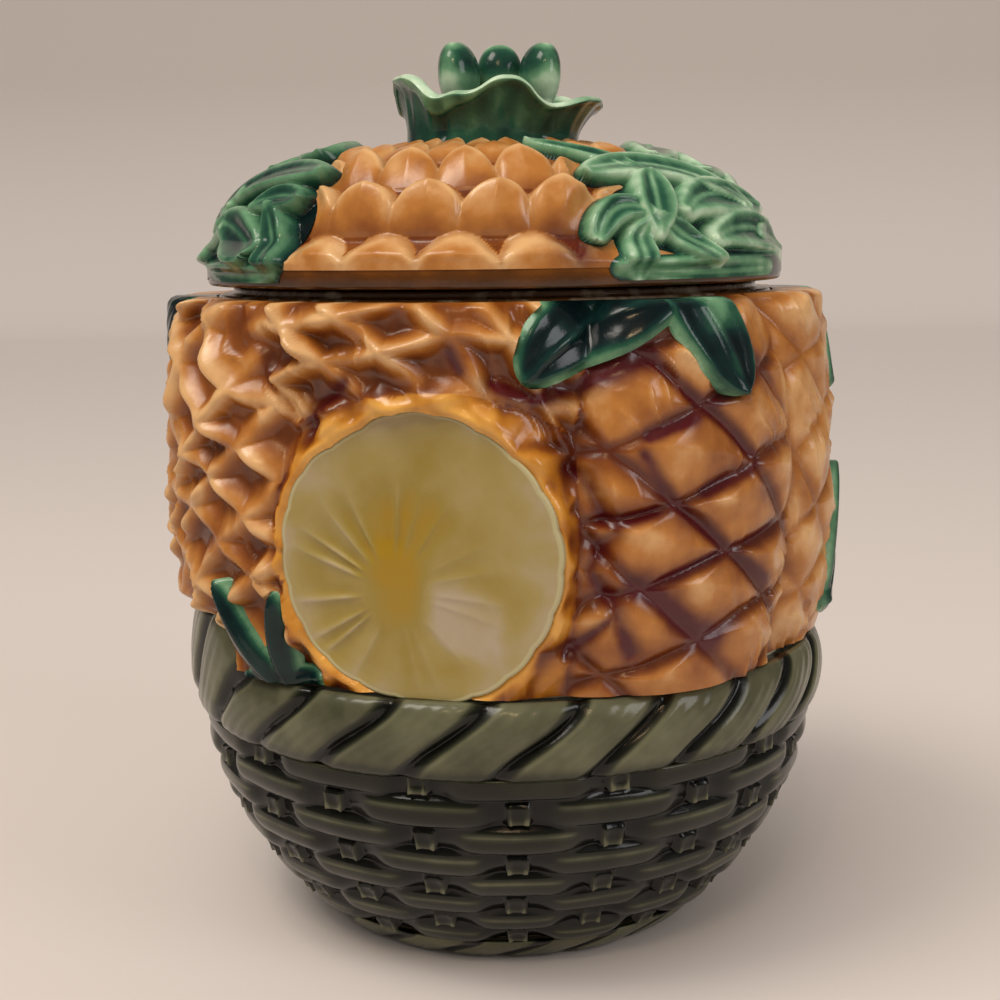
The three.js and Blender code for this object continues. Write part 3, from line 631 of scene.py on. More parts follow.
def strokes(turn, height):
    """Cover of the brush strokes, and the depth of the groove under them."""
    cover = np.zeros(np.shape(turn))
    depth = np.zeros(np.shape(turn))
    for width, groove, points in STROKES:
        middle = np.mean(points, axis=0)[0]
        line = [((turn_there - middle) * DEGREE, height_there) for turn_there, height_there in points]
        mark = bell(to_line(from_middle(turn, middle) * DEGREE, height, line)[0], width)
        cover = np.maximum(cover, mark)
        depth = np.maximum(depth, groove * mark)
    return cover, depth


def slice_edge(angle):
    """Radius of the cut slice at an angle round it: a circle with a notch where the rind laps over
    it at the upper left, and small waves."""
    notch = 0.9 * bell(angle - 2.1, 0.28)
    waves = 0.14 * np.sin(5 * angle + 1) + 0.3 * np.abs(np.sin(11 * angle + 0.5)) ** 0.7
    return SLICE_RADIUS - 0.3 - notch + waves


def from_slice(turn, height):
    """Distance outside the edge of the nearest slice, the angle round it, and the radius of its flat
    face."""
    angle = np.radians(from_middle(turn, SLICE_TURN))
    beside = SLICE_FACE * np.tan(np.clip(angle, -1.2, 1.2)) - SLICE_ASIDE
    up = height - SLICE_MIDDLE
    angle_there = np.arctan2(up, beside) % (2 * np.pi)
    face = SLICE_FACE / np.cos(np.clip(angle, -0.8, 0.8))
    return np.hypot(beside, up) - slice_edge(angle_there), angle_there, face


def kept_in(radius, turn, height):
    """Radius eased to stay inside the box of the ware, within BOX_SIDE to the sides and BOX_FRONT to
    the front and back: the soft minimum of the radius and that limit."""
    sine, cosine = np.sin(np.radians(turn)), np.cos(np.radians(turn))
    to_side = (BOX_SIDE - np.sign(sine) * sideways(height)) / np.maximum(np.abs(sine), 0.1)
    limit = np.minimum(to_side, BOX_FRONT / np.maximum(np.abs(cosine), 0.1))
    room = BOX_EASE * (limit - radius)
    return limit - (np.log1p(np.exp(np.minimum(room, 50))) + np.maximum(room - 50, 0)) / BOX_EASE


def fruit_skin(turn, height):
    """Radius, pooling and brushing of all the fruit together, and which fruit lies on top."""
    uneven = band_uneven(turn, height, 22, 11)
    finer = band_uneven(turn, height, 7, 16)
    bodies = np.stack([fruit_body(fruit, turn, height) for fruit in FRUITS])
    eyes = [fruit_eyes(fruit, turn, height, uneven, finer) for fruit in FRUITS]
    relief, groove = (np.stack(part) for part in zip(*eyes))

    # Round the slice, the rind is drawn to the slice's face and has a scalloped lip.
    out, angle, face = from_slice(turn, height)
    at_right, above = (np.maximum(part, 0) ** 2 for part in (np.cos(angle), np.sin(angle)))
    on_top = bell(angle - 1.5, 0.7)
    near = bell(np.maximum(out, 0), 2.4 + 1.8 * on_top)
    bodies[0] = bodies[0] + (face - 1.3 * at_right + 1.2 * above - bodies[0]) * near
    scallop = np.cos(RIND_SCALLOPS / 2 * angle + 0.6) ** 2
    lip = 0.7 * bell(out - 0.7, 0.6) + 1.7 * scallop**0.7 * smooth(out, 0.5, 2.2) - 0.35
    relief[0] = relief[0] * (1 - near) + near * lip

    # The fruits melt together, lower at both sides and painted paler there as a sheen, and strokes and
    # folds mark them.
    away = from_middle(turn, 0)
    at_side = np.maximum(smooth(away, *FAR_RIGHT), smooth(-away, *FAR_LEFT))
    relief = relief * (1 + 0.35 * band_uneven(turn, height, 12, 14)) * (1 - 0.3 * at_side)
    radius = blended(np.concatenate([bodies + relief, wall_radius(height)[None] + FRUIT_FLOOR]))
    top = np.argmax(bodies, 0)
    ranked = np.sort(bodies, axis=0)
    crease = bell(ranked[-1] - ranked[-2], 1)
    cover, depth = strokes(turn, height)
    folds = wrinkles(turn, height, finer)
    radius = rim_rounded(radius - 1.1 * depth + 0.2 * uneven + 0.2 * finer + folds * (1 - near), height)

    # The glaze pools in grooves, creases and hollows, where the maroon lies too.
    in_groove = bell(chosen(groove, top), 0.95)
    hollow_eyes = np.array([fruit["peak"] < 0 for fruit in FRUITS])[top]
    pool = np.where(hollow_eyes, 0.5, 0.45) - 0.4 * chosen(relief, top) + 0.3 * in_groove + 0.25 * crease
    # Both sides are painted paler and less stained, as a sheen.
    pool = np.clip(pool - 0.5 * folds, 0, 1) * (1 - 0.55 * at_side)
    stain_and_painted_light = 0.25 * in_groove * (top == 1) + 0.05 * in_groove + 0.95 * cover + 0.15 * crease
    stain_and_painted_light = np.clip(stain_and_painted_light, 0, 1) * (1 - 0.5 * at_side)
    # The rind's top ledge is painted paler and less stained than its sides: a painted highlight.
    rind = near * (top == 0)
    rind_pool = 0.75 * (1 - scallop**0.7) * smooth(out, 0.5, 2.0) * (1 - on_top)
    pool = pool + rind * (rind_pool - (0.7 + 0.2 * on_top) * pool)
    speckle = band_uneven(turn, height, 8, 12)
    stain_and_painted_light = stain_and_painted_light * (1 - (0.6 + 0.35 * on_top) * rind) + 0.03 + 0.06 * speckle

    # Beside the tuft, the fruit draws back under the raised rope.
    low = 1 - smooth(height, BAND_FOOT + 0.75 * ROPE_LIFT, BAND_FOOT + 1.3 * ROPE_LIFT)
    radius = radius + (rope_shoulder - 1 - radius) * beside_tuft(turn) * low
    return kept_in(radius, turn, height), np.clip(pool + 0.12 * speckle, 0, 1), np.clip(stain_and_painted_light, 0, 1), top


# The leaves of the band are laid over the fruit: a crown on the tall pineapple, a tuft that grows
# out of the basket, and small ones at the sides. Their green glaze pools almost black in the middle
# and runs off to a yellow green at the edges and along the veins.
LEAF_THICKNESS = 1.35
LEAF_EDGE_WIDTH = 1.5
LEAF_RIB = 0.35
LEAF_BLUNTNESS = 1.6
NARROW_LEAF = 3

# Half width, skew, then turn and height of the root, the bend and the tip of each leaf of a spray.
SPRAYS = {
    "crown_leaves": [
        (5.8, -0.15, (29, 96), (14.5, 91.5), (3.5, 85)),
        (6.3, 0, (30, 100), (35.3, 92), (38.8, 82.5)),
    ],
    "side_leaves": [(4.2, 0, (-92, 82), (-88, 88), (-84, 98)), (3.6, 0, (-78, 96), (-84, 91), (-90, 83))],
    "leaf_tuft": [
        (2.8, 0, (-46, 43.5), (-40, 44), (-32, 45.5)),
        (2.7, 0, (-39, 42.5), (-45.5, 49.5), (-51, 57.5)),
        (2.1, 0, (-37.5, 42.5), (-38.8, 50), (-38.5, 57.3)),
    ],
    "low_leaves": [(4.6, 0, (78, 49), (80, 59), (83, 69)), (4.2, 0, (77, 49), (84, 53), (91, 61))],
}


def leaf(half_width, skew, root, bend, tip, aside, up, bluntness=1):
    """Distance inside the edge of one leaf, and the signed distance from its midrib. The midrib is a
    parabola through three points, and the blade swells from the root, then closes to the tip. Skew
    makes it wider on the left of its midrib."""
    root, bend, tip = np.array([root, bend, tip], float)
    midrib = parabola(root, 2 * bend - (root + tip) / 2, tip, np.linspace(0, 1, 13)[:, None])
    distance, share, side = to_line(aside, up, midrib)
    width = half_width * (1 - share ** (2.2 * bluntness)) ** (0.8 / bluntness) * (1 + skew * np.tanh(side))
    width = width * (0.6 + 0.4 * np.sin(np.minimum(share / 0.45, 1) * np.pi / 2))
    return width - distance, side


def blade(inside, side, thickness, edge_width, rib, half_width):
    """Height of a leaf over what it lies on, and how deep its glaze pools: a rounded edge, two
    hollow halves and a raised midrib with fine side veins."""
    edge = np.sin(np.clip(inside / edge_width, 0, 1) * np.pi / 2)
    midrib = bell(side, 0.55)
    hollow = np.clip(inside / (2.2 * edge_width), 0, 1) ** 2
    rise = thickness * (0.25 + 0.75 * edge) + rib * midrib - 0.4 * hollow + 0.6 * np.minimum(inside, 0)
    deep = smooth(inside, 0, min(1.7 * edge_width, 0.45 * half_width))
    pool = 0.3 + 0.65 * deep * (1 - 0.06 * half_width * midrib) + 0.08 * np.sin(side * 1.3)
    return rise, pool


def spray_reach(leaves, turn, height):
    """How far inside the edge of a spray a point is, and the rise and pooling of its top leaf."""
    reach = np.full(np.shape(turn), -1e9)
    rise = np.full(np.shape(turn), -1e9)
    pool = np.zeros(np.shape(turn))
    for order, (half_width, skew, *spots) in enumerate(leaves):
        middle = spots[1][0]
        spots = [((spot[0] - middle) * DEGREE, spot[1]) for spot in spots]
        aside = from_middle(turn, middle) * DEGREE
        inside, side = leaf(half_width, skew, *spots, aside, height, LEAF_BLUNTNESS)
        edge_width = LEAF_EDGE_WIDTH if half_width > NARROW_LEAF else 0.95 * half_width
        leaf_rise, leaf_pool = blade(inside, side, LEAF_THICKNESS, edge_width, LEAF_RIB, half_width)
        leaf_rise = leaf_rise + 0.3 * order * smooth(inside, 0, 1.5)
        pool = pool + (leaf_pool - pool) * smooth(leaf_rise - rise, -0.2, 0.2)
        rise = np.maximum(leaf_rise, rise)
        reach = np.maximum(reach, inside)
    return reach, rise, pool


def leaf_skin(turn, height):
    """Radius and pooling of the leaves, laid over the fruit without its eyes, and how far inside
    each spray a point is. The top of the right leaf of the crown is painted paler as a highlight."""
    under = blended(np.stack([fruit_body(fruit, turn, height) for fruit in FRUITS]))
    sprays = np.array([spray_reach(leaves, turn, height) for leaves in SPRAYS.values()])
    reaches, rises, pools = sprays.swapaxes(0, 1)
    top = np.argmax(reaches, 0)
    radius = rim_rounded(under + np.maximum(chosen(rises, top), -1), height)
    painted_leaf_highlight = bell(from_middle(turn, 37), 4) * smooth(height, 89, 93)
    return kept_in(radius, turn, height), chosen(pools, top) * (1 - 0.75 * painted_leaf_highlight), reaches


def settle(columns, rows, owner):
    """Evens out the stepped borders between owners of cells: each point of a border moves half way
    to the middle of its neighbours along the border, six times."""
    columns, rows = columns.copy(), rows.copy()
    upright = owner != np.roll(owner, 1, 1)
    level = np.zeros((owner.shape[0] + 1, owner.shape[1]), bool)
    level[1:-1] = owner[1:] != owner[:-1]
    for _ in range(6):
        for values, full_turn in ((columns, 360), (rows, 0)):
            right, left = np.roll(values, -1, 1), np.roll(values, 1, 1)
            right[:, -1] += full_turn
            left[:, 0] -= full_turn
            total = level * right + np.roll(level, 1, 1) * left
            count = 1.0 * level + np.roll(level, 1, 1)
            total[:-1] += upright * values[1:]
            count[:-1] += upright
            total[1:] += upright * values[:-1]
            count[1:] += upright
            moving = count >= 2
            moving[[0, -1]] &= full_turn > 0
            values[moving] = (0.5 * values + 0.5 * total / np.maximum(count, 1))[moving]
    return columns, rows


def snap(columns, rows, mine, reach_of, millimetres):
    """Moves the points round the cells that are mine onto the line where a reach in millimetres
    crosses nothing, along its slope, if that line is near."""
    meeting = np.zeros(columns.shape, bool)
    beside = mine != np.roll(mine, 1, 1)
    meeting[:-1] |= beside
    meeting[1:] |= beside
    over = mine[1:] != mine[:-1]
    meeting[1:-1] |= over | np.roll(over, 1, 1)
    meeting[[0, -1]] = False
    turn, up = columns[meeting], rows[meeting]
    for _ in range(2):
        reach = reach_of(turn, up)
        by_turn = (reach_of(turn + 0.1, up) - reach) / (0.1 * millimetres)
        by_up = (reach_of(turn, up + 0.05) - reach) / 0.05
        length = np.maximum(np.hypot(by_turn, by_up), 0.3)
        move = np.where(np.abs(reach) < 0.9, -reach / length, 0)
        turn = turn + move * by_turn / length / millimetres
        up = up + move * by_up / length
    columns[meeting], rows[meeting] = turn, up
    return columns, rows


def normals_of(points):
    """Outward normals of a grid of points that closes on itself from column to column."""
    aside = np.roll(points, -1, 1) - np.roll(points, 1, 1)
    normals = np.cross(aside, np.gradient(points, axis=0))
    return normals / np.linalg.norm(normals, axis=2, keepdims=True)


def cut_out(front, mine):
    """Closed solid of the cells of a grid that are mine: front, back and a side along each open
    edge. Returns its faces and the points of front and back that it uses."""
    rows, columns = front.shape[:2]
    quads = grid_quads(rows, columns).reshape(rows - 1, columns, 4)
    padded = np.zeros((rows + 1, columns), bool)
    padded[1:-1] = mine
    neighbours = [padded[:-2], np.roll(mine, -1, 1), padded[2:], np.roll(mine, 1, 1)]
    faces = [quads[mine], quads[mine][:, ::-1] + rows * columns]
    for i, neighbour in enumerate(neighbours):
        sides = quads[mine & ~neighbour]
        start, end = sides[:, i], sides[:, (i + 1) % 4]
        faces.append(np.stack([end, start, start + rows * columns, end + rows * columns], -1))
    used, faces = np.unique(np.concatenate(faces), return_inverse=True)
    return faces.reshape(-1, 4), used


def pieces_of_skin(skins, backs, owner, owners, body):
    """Makes a piece of each owner's cells. skins holds the points, normals and marks of each kind of
    surface, and owners the node, kind, slot and material of each owner."""
    for number, (node, kind, slot, material) in enumerate(owners):
        mine = owner == number
        if not mine.any():
            continue
        points, normals, marks = skins[kind]
        faces, used = cut_out(points, mine)
        both = np.concatenate([points.reshape(-1, 3), backs.reshape(-1, 3)])[used]
        turned_out = np.concatenate([normals.reshape(-1, 3), -normals.reshape(-1, 3)])[used]
        values = {mark: np.tile(field.ravel(), 2)[used] for mark, field in marks.items()}
        make_piece("moulded_" + node, both, faces, body, [node], material, values, turned_out)


# Honey glaze: pale where it is thin over a peak, orange brown in its depth.
honey_glaze = glaze(
    "glazed_earthenware_honey", ["#d0a36e", "#ad7031", "#844816", "#5c2b0b"], mottle=5.0,
    stain_and_painted_light="#4a0b10", roughness=0.26, blurring=0.45,
)
# Amber glaze, yellower than the honey, which makes the rind glow round the slice.
rind_glaze = glaze(
    "glazed_earthenware_amber", ["#d8a04a", "#b5741f", "#7f4412", "#51220c"], stain_and_painted_light="#4a0b10",
    roughness=0.22,
)
# Green glaze: mint where it thins at an edge, blue green and nearly black where it pools.
green_glaze = glaze(
    "glazed_earthenware_green", ["#b9d0b2", "#638e6a", "#26503c", "#0f2a27", "#071416"], mottle=5.0,
    blurring=0.35, index=1.4,
)


def cell_middles(turns, ups):
    """Turns and heights of the middles of the cells of a grid."""
    return np.meshgrid(turns + 180 / len(turns), (ups[1:] + ups[:-1]) / 2)


# Cells are owned by the fruits, the slice and the sprays, in this order, with front and back twins.
band_turns = around(BAND_COLUMNS)
band_heights = np.linspace(BAND_FOOT, BAND_TOP, BAND_ROWS)
cell_turns, cell_heights = cell_middles(band_turns, band_heights)
slice_number = len(FRUITS)
in_slice = from_slice(cell_turns, cell_heights)[0] < 0
band_owner = np.where(in_slice, slice_number, fruit_skin(cell_turns, cell_heights)[3])
for i, cell_reach in enumerate(leaf_skin(cell_turns, cell_heights)[2]):
    band_owner = np.where(cell_reach > 0, slice_number + 1 + i, band_owner)
spray_turns = [leaves[0][3][0] for leaves in SPRAYS.values()]
owner_turns = np.array([fruit["turn"] for fruit in FRUITS] + [SLICE_TURN] + spray_turns)
on_back = np.abs(wrapped(cell_turns, owner_turns[band_owner])) > 90
in_leaf = band_owner > slice_number
in_slice = band_owner == slice_number
band_owner = 2 * band_owner + on_back

grid_turns, grid_heights = settle(*np.meshgrid(band_turns, band_heights), band_owner)
grid_turns, grid_heights = snap(
    grid_turns, grid_heights, in_leaf, lambda turn, height: leaf_skin(turn, height)[2].max(0), DEGREE,
)
grid_turns, grid_heights = snap(
    grid_turns, grid_heights, in_slice, lambda turn, height: -from_slice(turn, height)[0], DEGREE,
)
grid_heights = np.clip(grid_heights, BAND_FOOT, BAND_TOP)
fruit_radius, fruit_pool, fruit_stain, _ = fruit_skin(grid_turns, grid_heights)
leaf_radius, leaf_pool, _ = leaf_skin(grid_turns, grid_heights)
fruit_points = place(grid_turns, fruit_radius, grid_heights)
leaf_points = place(grid_turns, leaf_radius, grid_heights)
band_back = place(grid_turns, wall_radius(grid_heights) + GAP, grid_heights)
band_skins = {
    "fruit": (fruit_points, normals_of(fruit_points), {"pool": fruit_pool, "stain_and_painted_light": fruit_stain}),
    "leaf": (leaf_points, normals_of(leaf_points), {"pool": leaf_pool}),
}
kinds = {fruit["name"]: ("fruit", "fruit_glaze", honey_glaze) for fruit in FRUITS}
kinds["half_pineapple"] = ("fruit", "rind_glaze", rind_glaze)
kinds["pineapple_slice"] = (None, None, None)
kinds |= {spray: ("leaf", "leaf_glaze", green_glaze) for spray in SPRAYS}
band_owners = [(f"{name}_{side}", *kind) for name, kind in kinds.items() for side in ("front", "back")]
band_owner[in_slice] = -1
pieces_of_skin(band_skins, band_back, band_owner, band_owners, "jar")


# Each cut slice is a flat disc let into the rind, with low rays from its core to its edge. It is
# brushed with a yellow slip, brightest at the core, under a soft clear glaze.
SLICE_RAYS = 19
RAY_HEIGHT = 0.5
SLICE_CORE = (-3.2, -4.4)
SLICE_EDGE = 0.3
SLICE_BEVEL = 0.02

# Rings from behind the disc, over its bevelled edge, to its middle.
bevel_shares = 1 - (1 - np.cos(np.linspace(0.3, np.pi / 2, 6))) * SLICE_BEVEL
ring = np.concatenate([[0.5, 1, 1], bevel_shares, np.linspace(0.975, 0.02, 70)])[:, None]
slice_angle = np.radians(around(360))
slice_reach = ring * (slice_edge(slice_angle) + 0.1)
disc_x = slice_reach * np.cos(slice_angle)
slice_beside = disc_x + SLICE_ASIDE
slice_up = slice_reach * np.sin(slice_angle)
core_x, core_y = disc_x - SLICE_CORE[0], slice_up - SLICE_CORE[1]
from_core = np.hypot(core_x, core_y)
ray_angle = np.arctan2(core_y, core_x)
ray_waves = 0.9 * np.sin(ray_angle * 5) + 0.5 * np.sin(ray_angle * 11 + 2) + 0.04 * from_core
ray = np.abs(np.sin(ray_angle * SLICE_RAYS / 2 + ray_waves))
strength = smooth(from_core, 4, 7.5) * (1 - smooth(from_core, 10, 17))
strength = strength * (1 - 0.7 * smooth(-np.cos(ray_angle - 2.8), -0.5, 0.3))
rim_of_slice = smooth(ring, 0.9, 0.985)
slice_relief = -RAY_HEIGHT * ray**0.8 * strength * (1 - rim_of_slice) + 0.04 * rim_of_slice
on_bevel = np.clip((ring - 1 + SLICE_BEVEL) / SLICE_BEVEL, 0, 1)
slice_out = SLICE_FACE + slice_relief - SLICE_EDGE * (1 - np.sqrt(1 - on_bevel**2))
wall_there = wall_radius(SLICE_MIDDLE + slice_up) + GAP + 0.05
slice_out[:2] = np.sqrt(np.maximum(wall_there**2 - slice_beside**2, 1))[:2]
core_glow = bell(core_x, 4.2) * bell(core_y, 6.5) + 0.55 * bell(core_x - 2.5, 6) * bell(core_y - 10, 9)
pale_wedge = bell(core_x - 9.5, 5, 4) * bell(core_y + 0.8 + 0.3 * core_x, 4.6, 4)
slice_pool = 0.42 + 0.62 * core_glow - 0.7 * pale_wedge + 0.55 * (ray**0.6 - 0.6) * strength
slice_pool = np.clip(slice_pool - 0.2 * smooth(ring, 0.75, 1), 0, 1)
# Painted highlight: a pale line all round the rim of the slice.
slice_rim_highlight = np.broadcast_to(0.6 * (ring > 0.97), slice_pool.shape)
slice_marks = {
    mark: np.concatenate([[field[0, 0]], field.ravel(), [field[-1, 0]]])
    for mark, field in {"pool": slice_pool, "stain_and_painted_light": slice_rim_highlight}.items()
}

# Yellow slip under clear glaze: ochre at the core, pale and greyish towards the edge, hardly shiny.
# Its pale grey yellow stain colour is that painted highlight round the rim.
cut_glaze = glaze(
    "glazed_earthenware_yellow", ["#a39279", "#98854f", "#8e7830", "#967409"], mottle=7.0,
    blurring=0.5, stain_and_painted_light="#b3ad84", roughness=0.32,
)
for side, half_turn in (("front", 0), ("back", 180)):
    rings = place(SLICE_TURN + half_turn, slice_out, SLICE_MIDDLE + slice_up, slice_beside)
    points, faces = with_poles(rings, rings[0].mean(0), rings[-1].mean(0))
    make_piece(
        "cut_slice_" + side, points, faces, "jar", ["pineapple_slice_" + side],
        cut_glaze, slice_marks,
    )


# The lid is one casting with a plain rim that rests on the mouth and a flange that drops into it.
# Its rim is painted a darker brown amber as shade, darkest towards its foot.
LID_FOOT = RIM_HEIGHT + SEAT_RISE + GAP
LID_RADIUS = RIM_RADIUS + 1.4
LID_EDGE = 3.4
LID_WALL = 3.2
LID_SHOULDER = LID_FOOT + LID_EDGE
DOME_RADIUS = LID_RADIUS - 1
DOME_HEIGHT = 18.6
DOME_SQUARENESS = 2.4
DOME_RELIEF = 3
FLANGE_RADIUS = 36.2
FLANGE_INSIDE = FLANGE_RADIUS - 3
FLANGE_FOOT = LID_FOOT - 5.2


def dome(climb, out):
    """Radius and height of the lid's dome, a squarish quarter ellipse, at an angle of climb in
    radians, moved in or out."""
    power = 2 / DOME_SQUARENESS
    cosine, sine = np.maximum(np.cos(climb), 0), np.maximum(np.sin(climb), 0)
    return (DOME_RADIUS + out) * cosine**power, LID_SHOULDER + (DOME_HEIGHT + out) * sine**power


climbs = np.radians(np.linspace(0, 90, 40))
hollow = np.stack(dome(climbs, -DOME_RELIEF - LID_WALL), -1)[::-1]
hollow = hollow[hollow[:, 0] < FLANGE_INSIDE - GAP]
flange = [
    (FLANGE_INSIDE, LID_SHOULDER - LID_EDGE / 2), (FLANGE_INSIDE, FLANGE_FOOT),
    (FLANGE_RADIUS, FLANGE_FOOT), (FLANGE_RADIUS, LID_FOOT),
]
edge = [(LID_RADIUS, LID_FOOT), (LID_RADIUS, LID_SHOULDER)]
crust = np.stack(dome(climbs, -DOME_RELIEF), -1)
hollow[0, 0] = 0
crust[-1, 0] = 0
lid_line = np.concatenate([hollow, flange, edge, crust])
lid_points, lid_faces = turned(rounded(lid_line, 0.6, 4))

# Brown amber glaze, glossy: painted shade, which looks like burnt sugar in the shadow under the rim.
shaded_lid_glaze = glaze(
    "glazed_earthenware_brown_painted_shade", ["#a96f2a", "#864f14", "#5a320a", "#3c2108"], mottle=6.0,
    blurring=0.4, roughness=0.14,
)
# The pool mark darkens the rim towards its foot: painted shade.
make_piece(
    "lid_dome_and_rim", lid_points, lid_faces, "lid", ["lid_shell"], shaded_lid_glaze,
    {"pool": 0.45 + 0.5 * smooth(lid_points[:, 2], LID_SHOULDER - 0.8, LID_FOOT + 0.3)},
)


# The relief on the dome is moulded in one with it: overlapping pineapple scales at the front and the
# back, each arched on top, and clusters of curled leaves at both sides.
CROWN_FOOT_RADIUS = 13
LID_COLUMNS = 864
LID_ROWS = 116
LID_DEGREE = 0.68
LID_SKIRT = 2.6
LID_BASE = -2.3
FOOT_FLARE = 3.45
SIDE_DRAWS = [(85, 2.4), (-95, 1.2)]
SCALE_ROWS = 5
SCALE_TURN = 13.8
SCALE_FIRST = -27
SCALE_ROW = 8.1
SCALE_FIRST_TOP = 4.0
SCALE_ARCH = 3.4
SCALE_FOOT = 7.5
SCALE_HEIGHT = 3.35
SCALE_CREST_DROP = 0.55
LID_LEAF_THICKNESS = 2.1
LID_LEAF_BLUNTNESS = 2.2
LID_LEAF_EDGE = 1.5

# Half width, then turn and distance up the dome of root, bend and tip. Later leaves lie on top, and
# all lie on the ground of their cluster.
LID_GROUNDS = {
    "lid_leaves_right": [(8.5, (30, 6.5), (62, 6), (112, 6)), (7, (37, 14), (70, 17), (108, 14))],
    "lid_leaves_left": [(8.5, (-45, 6.5), (-78, 6), (-128, 6)), (7, (-48, 13), (-82, 18), (-118, 14))],
}
LID_SPRAYS = {
    "lid_leaves_right": [
        (5.5, (110, 9), (99, 9), (86, 9)), (5, (84, 27), (66, 25), (48, 20)),
        (5, (104, 21), (84, 20), (62, 15)), (3.0, (36, 13), (27, 20), (10, 27)),
        (5.2, (62, 8), (82, 11), (103, 9)), (4.6, (66, 3), (86, 2), (107, 0)),
        (2.4, (22, -1), (42, -1.8), (66, -1.5)), (4.3, (62, 8), (41, 16), (19, 13.5)),
        (4.4, (40, 7), (52, 9.5), (70, 7.5)), (3.8, (46, 3), (61, 4), (80, 1)),
        (2.7, (29, 5), (26.5, 2), (25, -3)), (2.8, (31, 6), (23.5, 7), (18, 2)),
        (2.8, (31, 6), (37, 3), (45, -1)), (4.0, (31, 4), (33, 9), (35, 14)),
    ],
    "lid_leaves_left": [
        (5.5, (-124, 9), (-112, 9), (-98, 9)), (5, (-98, 28), (-80, 26), (-60, 22)),
        (5, (-116, 20), (-98, 20), (-76, 17)), (4.6, (-80, 2), (-98, 1), (-120, 0)),
        (4.8, (-72, 9), (-88, 12), (-106, 10)), (2.2, (-70, -1), (-56, -1.8), (-41, -1.5)),
        (4.2, (-86, 5), (-63, 14), (-39, 14.5)), (4.4, (-68, 5), (-80, 5), (-96, 3)),
        (3.2, (-54, 8), (-48, 9.5), (-40, 9)), (2.9, (-49, 8), (-45, 4), (-42.5, -2)),
        (4.3, (-68, 5.5), (-59, 4.5), (-48, 1)),
    ],
}

fine_climbs = np.linspace(0, np.pi / 2, 4000)
dome_steps = np.hypot(*(np.diff(line) for line in dome(fine_climbs, 0)))
dome_lengths = np.concatenate([[0], np.cumsum(dome_steps)])
top_length = np.interp(-CROWN_FOOT_RADIUS - GAP, -dome(fine_climbs, -DOME_RELIEF)[0], dome_lengths)


def on_dome(turn, up, out):
    """Points of the dome at a turn and a distance up it, moved in or out. Below its foot they run
    straight down the rim."""
    radius, height = dome(np.interp(up, dome_lengths, fine_climbs), out)
    return place(turn, radius, height + np.minimum(up, 0))


def over_foot(turn, up, height):
    """How far the relief stands out from the dome: it flares over the rim at the dome's foot, less at
    both sides, and is nowhere inside the lid."""
    flare = FOOT_FLARE
    for side, draw in SIDE_DRAWS:
        flare = flare - draw * bell(wrapped(turn, side), 45)
    risen = height * (0.35 + 0.65 * smooth(up, -1.5, 0.5))
    out = LID_BASE + flare * (1 - smooth(up, -0.2, 3.2)) + risen
    climbed = smooth(up, 0.2, 1)
    least = (LID_RADIUS - DOME_RADIUS + 0.15) * (1 - climbed) + (GAP - DOME_RELIEF) * climbed
    return np.maximum(out, least)


def scales(turn, up):
    """Height of the pineapple scales over the dome, how deep the glaze pools and how close the
    valley is. A scale climbs in a straight slope to a rounded crest with an arched outline, falls
    off to its sides, and each row lies in front of the next."""
    uneven = unevenness(place(turn, 40, up + 100), 16, 21)
    height = np.zeros(np.shape(turn))
    pool = np.ones(np.shape(turn))
    for row in range(SCALE_ROWS):
        first = SCALE_FIRST + 0.5 * SCALE_TURN * ((row + 1) % 2)
        cell = (from_middle(turn, 0) - first + 0.8 * uneven) / SCALE_TURN
        beside = 2 * np.abs(cell - np.round(cell))
        springing = SCALE_FIRST_TOP + SCALE_ROW * row - SCALE_ARCH - (1.2 if row == 0 else 0)
        top = springing + SCALE_ARCH * (1 - beside**2.4) + 0.4 * uneven
        foot = springing - SCALE_FOOT + SCALE_ARCH
        climb = np.clip(1.01 - np.hypot(1 - (up - foot) / (top - foot), 0.13), 0, 1)
        rise = SCALE_HEIGHT * (1 - SCALE_CREST_DROP * smooth(up, 22, 30)) * (0.12 + 0.88 * climb)
        rise = rise * (1 - smooth(up, top - 0.3, top + 1.6)) * (1 - 0.42 * beside - 0.4 * beside**6)
        rise = rise * smooth(up, foot - 1, foot) * (0.55 if row == 0 else 1)
        # Each scale is painted paler towards its sides: a painted highlight between neighbouring scales.
        scale_pool = 0.42 - 0.42 * smooth(climb, 0.75, 1) + 0.25 * (1 - climb) ** 2 - 0.12 * beside**2
        pool = np.where(rise > height, scale_pool, pool)
        height = np.maximum(height, rise)
    return height + 0.12 * uneven, np.clip(pool, 0, 1), 1 - smooth(height, 0.2, 1.3)


